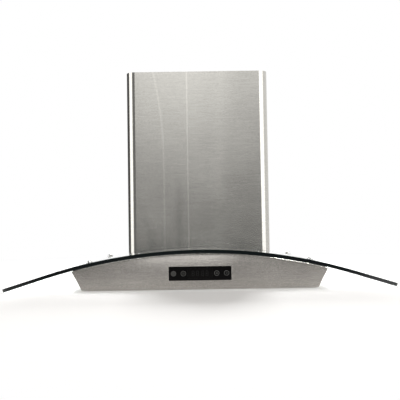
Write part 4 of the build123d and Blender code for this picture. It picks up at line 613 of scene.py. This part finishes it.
def draw_lamp(mesh, back, front):
    """Small lamp with three rays."""
    inner, outer, half_bulb = 0.0011, 0.0015, math.radians(125)
    collar_height, collars = 0.0004, ((0.0014, -0.0013), (0.0010, -0.0019))
    ray_width, ray_length, ray_rise, ray_angles = 0.0003, 0.0006, 0.0024, (-55, 0, 55)
    add_ring(mesh, inner, outer, back, front, start=-half_bulb, turn=2 * half_bulb)
    for width, rise in collars:
        add_plate(mesh, rectangle(width, collar_height, z=rise), back, front)
    for angle in ray_angles:
        ray = rectangle(ray_width, ray_length, z=ray_rise, turn=math.radians(angle))
        add_plate(mesh, ray, back, front)


# Segments of a digit: place across and up in half sizes, and whether it lies flat
SEGMENTS = (
    (0, 1, True),
    (0, 0, True),
    (0, -1, True),
    (-1, 0.5, False),
    (1, 0.5, False),
    (-1, -0.5, False),
    (1, -0.5, False),
)


def draw_digits(mesh, back, front):
    """Four unlit digits with two dots between the pairs."""
    for digit in range(DIGIT_COUNT):
        side = digit - (DIGIT_COUNT - 1) / 2
        centre = DIGIT_PITCH * side + math.copysign(DIGITS_ASIDE, side)
        for across, up, lying in SEGMENTS:
            x = centre + across * (DIGIT_WIDTH - DIGIT_BAR) / 2
            z = up * (DIGIT_HEIGHT - DIGIT_BAR) / 2
            length = (DIGIT_WIDTH if lying else DIGIT_HEIGHT / 2) - SEGMENT_GAPS
            size = (length, SEGMENT_WIDTH) if lying else (SEGMENT_WIDTH, length)
            add_plate(mesh, rectangle(*size, x=x, z=z), back, front)
    for rise in (-DOT_RISE, DOT_RISE):
        add_plate(mesh, rectangle(DIGIT_BAR, DIGIT_BAR, z=rise), back, front)


# Icon of each button, its material, and whether a ring runs round it
BUTTONS = {
    "power": (draw_power, "mark_dark", False),
    "timer": (draw_clock, "mark_pale", True),
    "speed": (draw_fan, "mark_pale", True),
    "light": (draw_lamp, "mark_pale", True),
}

for button, (draw, material, ringed) in BUTTONS.items():
    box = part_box(f"button_{button}")
    mark_piece(f"mark_{button}", draw, box, material, f"{button}_key")
    if ringed:
        mark_piece(f"ring_{button}", draw_ring, box, material, f"{button}_key")

mark_piece("display_digits", draw_digits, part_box("display_window"), "segment_unlit", "hood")


# ---------------------------------------------------------------- studio

FLOOR_DARKEST = (0.966, 0.964, 0.962, 1)
FLOOR_LIGHTEST = (0.974, 0.972, 0.970, 1)
FLOOR_CLOUD_SCALE = 3.0
FLOOR_GLOW = 0.06
FLOOR_WHITE_FROM = 0.95       # distances from the hood where the floor turns into white backdrop
FLOOR_WHITE_ALL = 1.60
FLOOR_SEEN_FULLY = 0.55       # and where it fades out of what metal mirrors
FLOOR_SEEN_LEAST = 1.30
FLOOR_MIRRORED = 0.60


def floor_material():
    """Pale floor that keeps the shadow. Metal mirrors the part of it round the hood."""
    material, s = new_material("studio_floor")
    place = s.place()
    colour = s.mix_colour(s.noise(place, FLOOR_CLOUD_SCALE), FLOOR_DARKEST, FLOOR_LIGHTEST)
    matt = s.node("ShaderNodeBsdfDiffuse", {"Color": colour}).outputs[0]
    glow = s.glow("ShaderNodeEmission", grey(1.0), FLOOR_GLOW)
    pale = s.node("ShaderNodeAddShader", {0: matt, 1: glow}).outputs[0]
    away = s.node("ShaderNodeVectorMath", {0: place}, operation="LENGTH").outputs["Value"]
    white = s.glow("ShaderNodeEmission", grey(1.0), 1.0)
    pale = s.mix_shader(s.remap(away, FLOOR_WHITE_FROM, FLOOR_WHITE_ALL), pale, white)
    path = s.node("ShaderNodeLightPath").outputs
    near = s.remap(away, FLOOR_SEEN_FULLY, FLOOR_SEEN_LEAST, FLOOR_MIRRORED, 0.0)
    mirrored = s.math("MULTIPLY", path["Is Glossy Ray"], near)
    seen = s.math("ADD", s.math("ADD", path["Is Camera Ray"], path["Is Transmission Ray"]), mirrored,
                  clamp=True)
    above = s.math("SUBTRACT", 1.0, s.node("ShaderNodeNewGeometry").outputs["Backfacing"])
    nothing = s.node("ShaderNodeBsdfTransparent").outputs[0]
    s.finish(s.mix_shader(s.math("MULTIPLY", seen, above), nothing, pale))
    return material


def build_floor():
    """Square floor under the hood."""
    mesh = bmesh.new()
    half = FLOOR_SIZE / 2
    corners = [mesh.verts.new((x, y, FLOOR_HEIGHT))
               for x, y in ((-half, -half), (half, -half), (half, half), (-half, half))]
    mesh.faces.new(corners)
    data = bpy.data.meshes.new("studio_floor")
    mesh.to_mesh(data)
    mesh.free()
    data.materials.append(floor_material())
    floor = bpy.data.objects.new("studio_floor", data)
    bpy.context.scene.collection.objects.link(floor)


# Studio that metal and glass mirror, as stops of (degrees, level). AROUND goes by degrees to the right of
# straight behind the camera: two tall soft boxes, dark screens beside them and a white backdrop.
AROUND = [(-180, 1.0), (-168, 1.0), (-160, 0.10), (-90, 0.10), (-86, 1.0), (-83, 1.9), (-44, 1.9),
          (-39, 0.26), (-12, 0.20), (12, 0.13), (15, 1.9), (61, 1.9), (65, 0.90), (160, 0.92),
          (168, 1.0), (180, 1.0)]
# The part of it behind the camera, by degrees across and by degrees above the horizon
FRONT_ACROSS = [(-12, 0.55), (-8, 0.66), (-5, 0.93), (0, 1.0), (2.5, 0.86), (4.5, 0.74), (12, 0.72)]
FRONT_RISE = [(-90, 0.40), (-5, 0.40), (-2.5, 0.22), (-1, 0.04), (3, 0.30), (8, 0.72), (13, 1.21),
              (25, 2.35), (34, 1.20), (60, 0.95), (90, 0.80)]
SIDE_RISE = [(-90, 0.70), (-10, 0.82), (15, 1.10), (19, 1.10), (26, 0.48), (90, 0.45)]
STUDIO_PEAK = 2.4             # no level is higher
FRONT_STARTS = (-11, -6)      # degrees over which the part behind the camera starts
FRONT_ENDS = (12, 15)
BACKDROP_STARTS = (160, 168)
BACKDROP_LEVEL = 1.0
AMBIENT = 0.34
AMBIENT_COLOUR = (1.0, 0.955, 0.90, 1)


def levels(s, value, stops):
    """Level that follows stops of (degrees, level) with straight runs between them."""
    low, high = stops[0][0], stops[-1][0]
    ramp = s.node("ShaderNodeValToRGB", {"Fac": s.remap(value, low, high, smooth=False)})
    points = ramp.color_ramp.elements
    while len(points) < len(stops):
        points.new(0.5)
    for point, (degree, level) in zip(points, stops):
        point.position = (degree - low) / (high - low)
        point.color = grey(level / STUDIO_PEAK)
    return s.math("MULTIPLY", s.red(ramp.outputs["Color"]), STUDIO_PEAK)


def build_world():
    """Plain light for the surfaces, the studio in their gloss, and white behind them."""
    world = bpy.data.worlds.new("studio")
    bpy.context.scene.world = world
    s = Shader(world)
    axes = s.split(s.node("ShaderNodeTexCoord").outputs["Generated"])
    turn = s.math("DEGREES", s.math("ARCTAN2", axes["X"], s.math("MULTIPLY", axes["Y"], -1.0)))
    rise = s.math("DEGREES", s.math("ARCSINE", axes["Z"]))
    front = s.math("MULTIPLY", s.remap(turn, *FRONT_STARTS), s.remap(turn, *FRONT_ENDS, 1.0, 0.0))
    behind = s.remap(s.math("ABSOLUTE", turn), *BACKDROP_STARTS)
    ahead = s.math("MULTIPLY", levels(s, turn, FRONT_ACROSS), levels(s, rise, FRONT_RISE))
    sides = s.math("MULTIPLY", levels(s, turn, AROUND), levels(s, rise, SIDE_RISE))
    level = s.lerp(behind, s.lerp(front, sides, ahead), BACKDROP_LEVEL)
    mirrored = s.glow("ShaderNodeBackground", grey(1.0), level)
    plain = s.glow("ShaderNodeBackground", AMBIENT_COLOUR, AMBIENT)
    white = s.glow("ShaderNodeBackground", grey(1.0), 1.0)
    path = s.node("ShaderNodeLightPath").outputs
    lit = s.mix_shader(path["Is Glossy Ray"], plain, mirrored)
    seen = s.math("ADD", path["Is Camera Ray"], path["Is Transmission Ray"], clamp=True)
    s.finish(s.mix_shader(seen, lit, white), "ShaderNodeOutputWorld")


Lamp = namedtuple("Lamp", "name place target size power")
LAMPS = (
    Lamp("back_light_right", (0.45, 1.42, 1.58), (0, -0.5, -0.2), (0.35, 0.90), 47.0),
    Lamp("back_light_left", (-0.50, 1.40, 1.64), (0, -0.5, -0.2), (0.50, 0.90), 50.0),
    Lamp("key_light", (1.70, -2.90, 1.50), (0, -0.4, 0), (1.0, 1.0), 34.0),
)


def build_light(lamp):
    """Rectangular lamp that looks at its target."""
    data = bpy.data.lights.new(lamp.name, "AREA")
    data.shape = "RECTANGLE"
    data.size, data.size_y = lamp.size
    data.energy = lamp.power
    light = bpy.data.objects.new(lamp.name, data)
    light.location = lamp.place
    light.rotation_euler = (Vector(lamp.target) - light.location).to_track_quat("-Z", "Y").to_euler()
    bpy.context.scene.collection.objects.link(light)


def build_camera():
    """Camera at the place and angle of the photograph."""
    forward = Vector((math.sin(CAMERA_YAW) * math.cos(CAMERA_PITCH),
                      math.cos(CAMERA_YAW) * math.cos(CAMERA_PITCH), math.sin(CAMERA_PITCH)))
    right = Vector((math.cos(CAMERA_YAW), -math.sin(CAMERA_YAW), 0))
    up = right.cross(forward)
    side = math.cos(CAMERA_ROLL) * right + math.sin(CAMERA_ROLL) * up
    top = -math.sin(CAMERA_ROLL) * right + math.cos(CAMERA_ROLL) * up
    data = bpy.data.cameras.new("camera")
    data.lens = CAMERA_LENS
    data.sensor_width = CAMERA_SENSOR
    camera = bpy.data.objects.new("camera", data)
    axes = Matrix((side, top, -forward)).transposed().to_4x4()
    camera.matrix_world = Matrix.Translation(CAMERA_PLACE) @ axes
    bpy.context.scene.collection.objects.link(camera)
    bpy.context.scene.camera = camera


build_floor()
build_world()
for lamp in LAMPS:
    build_light(lamp)
build_camera()

bpy.context.scene.view_settings.view_transform = "Standard"
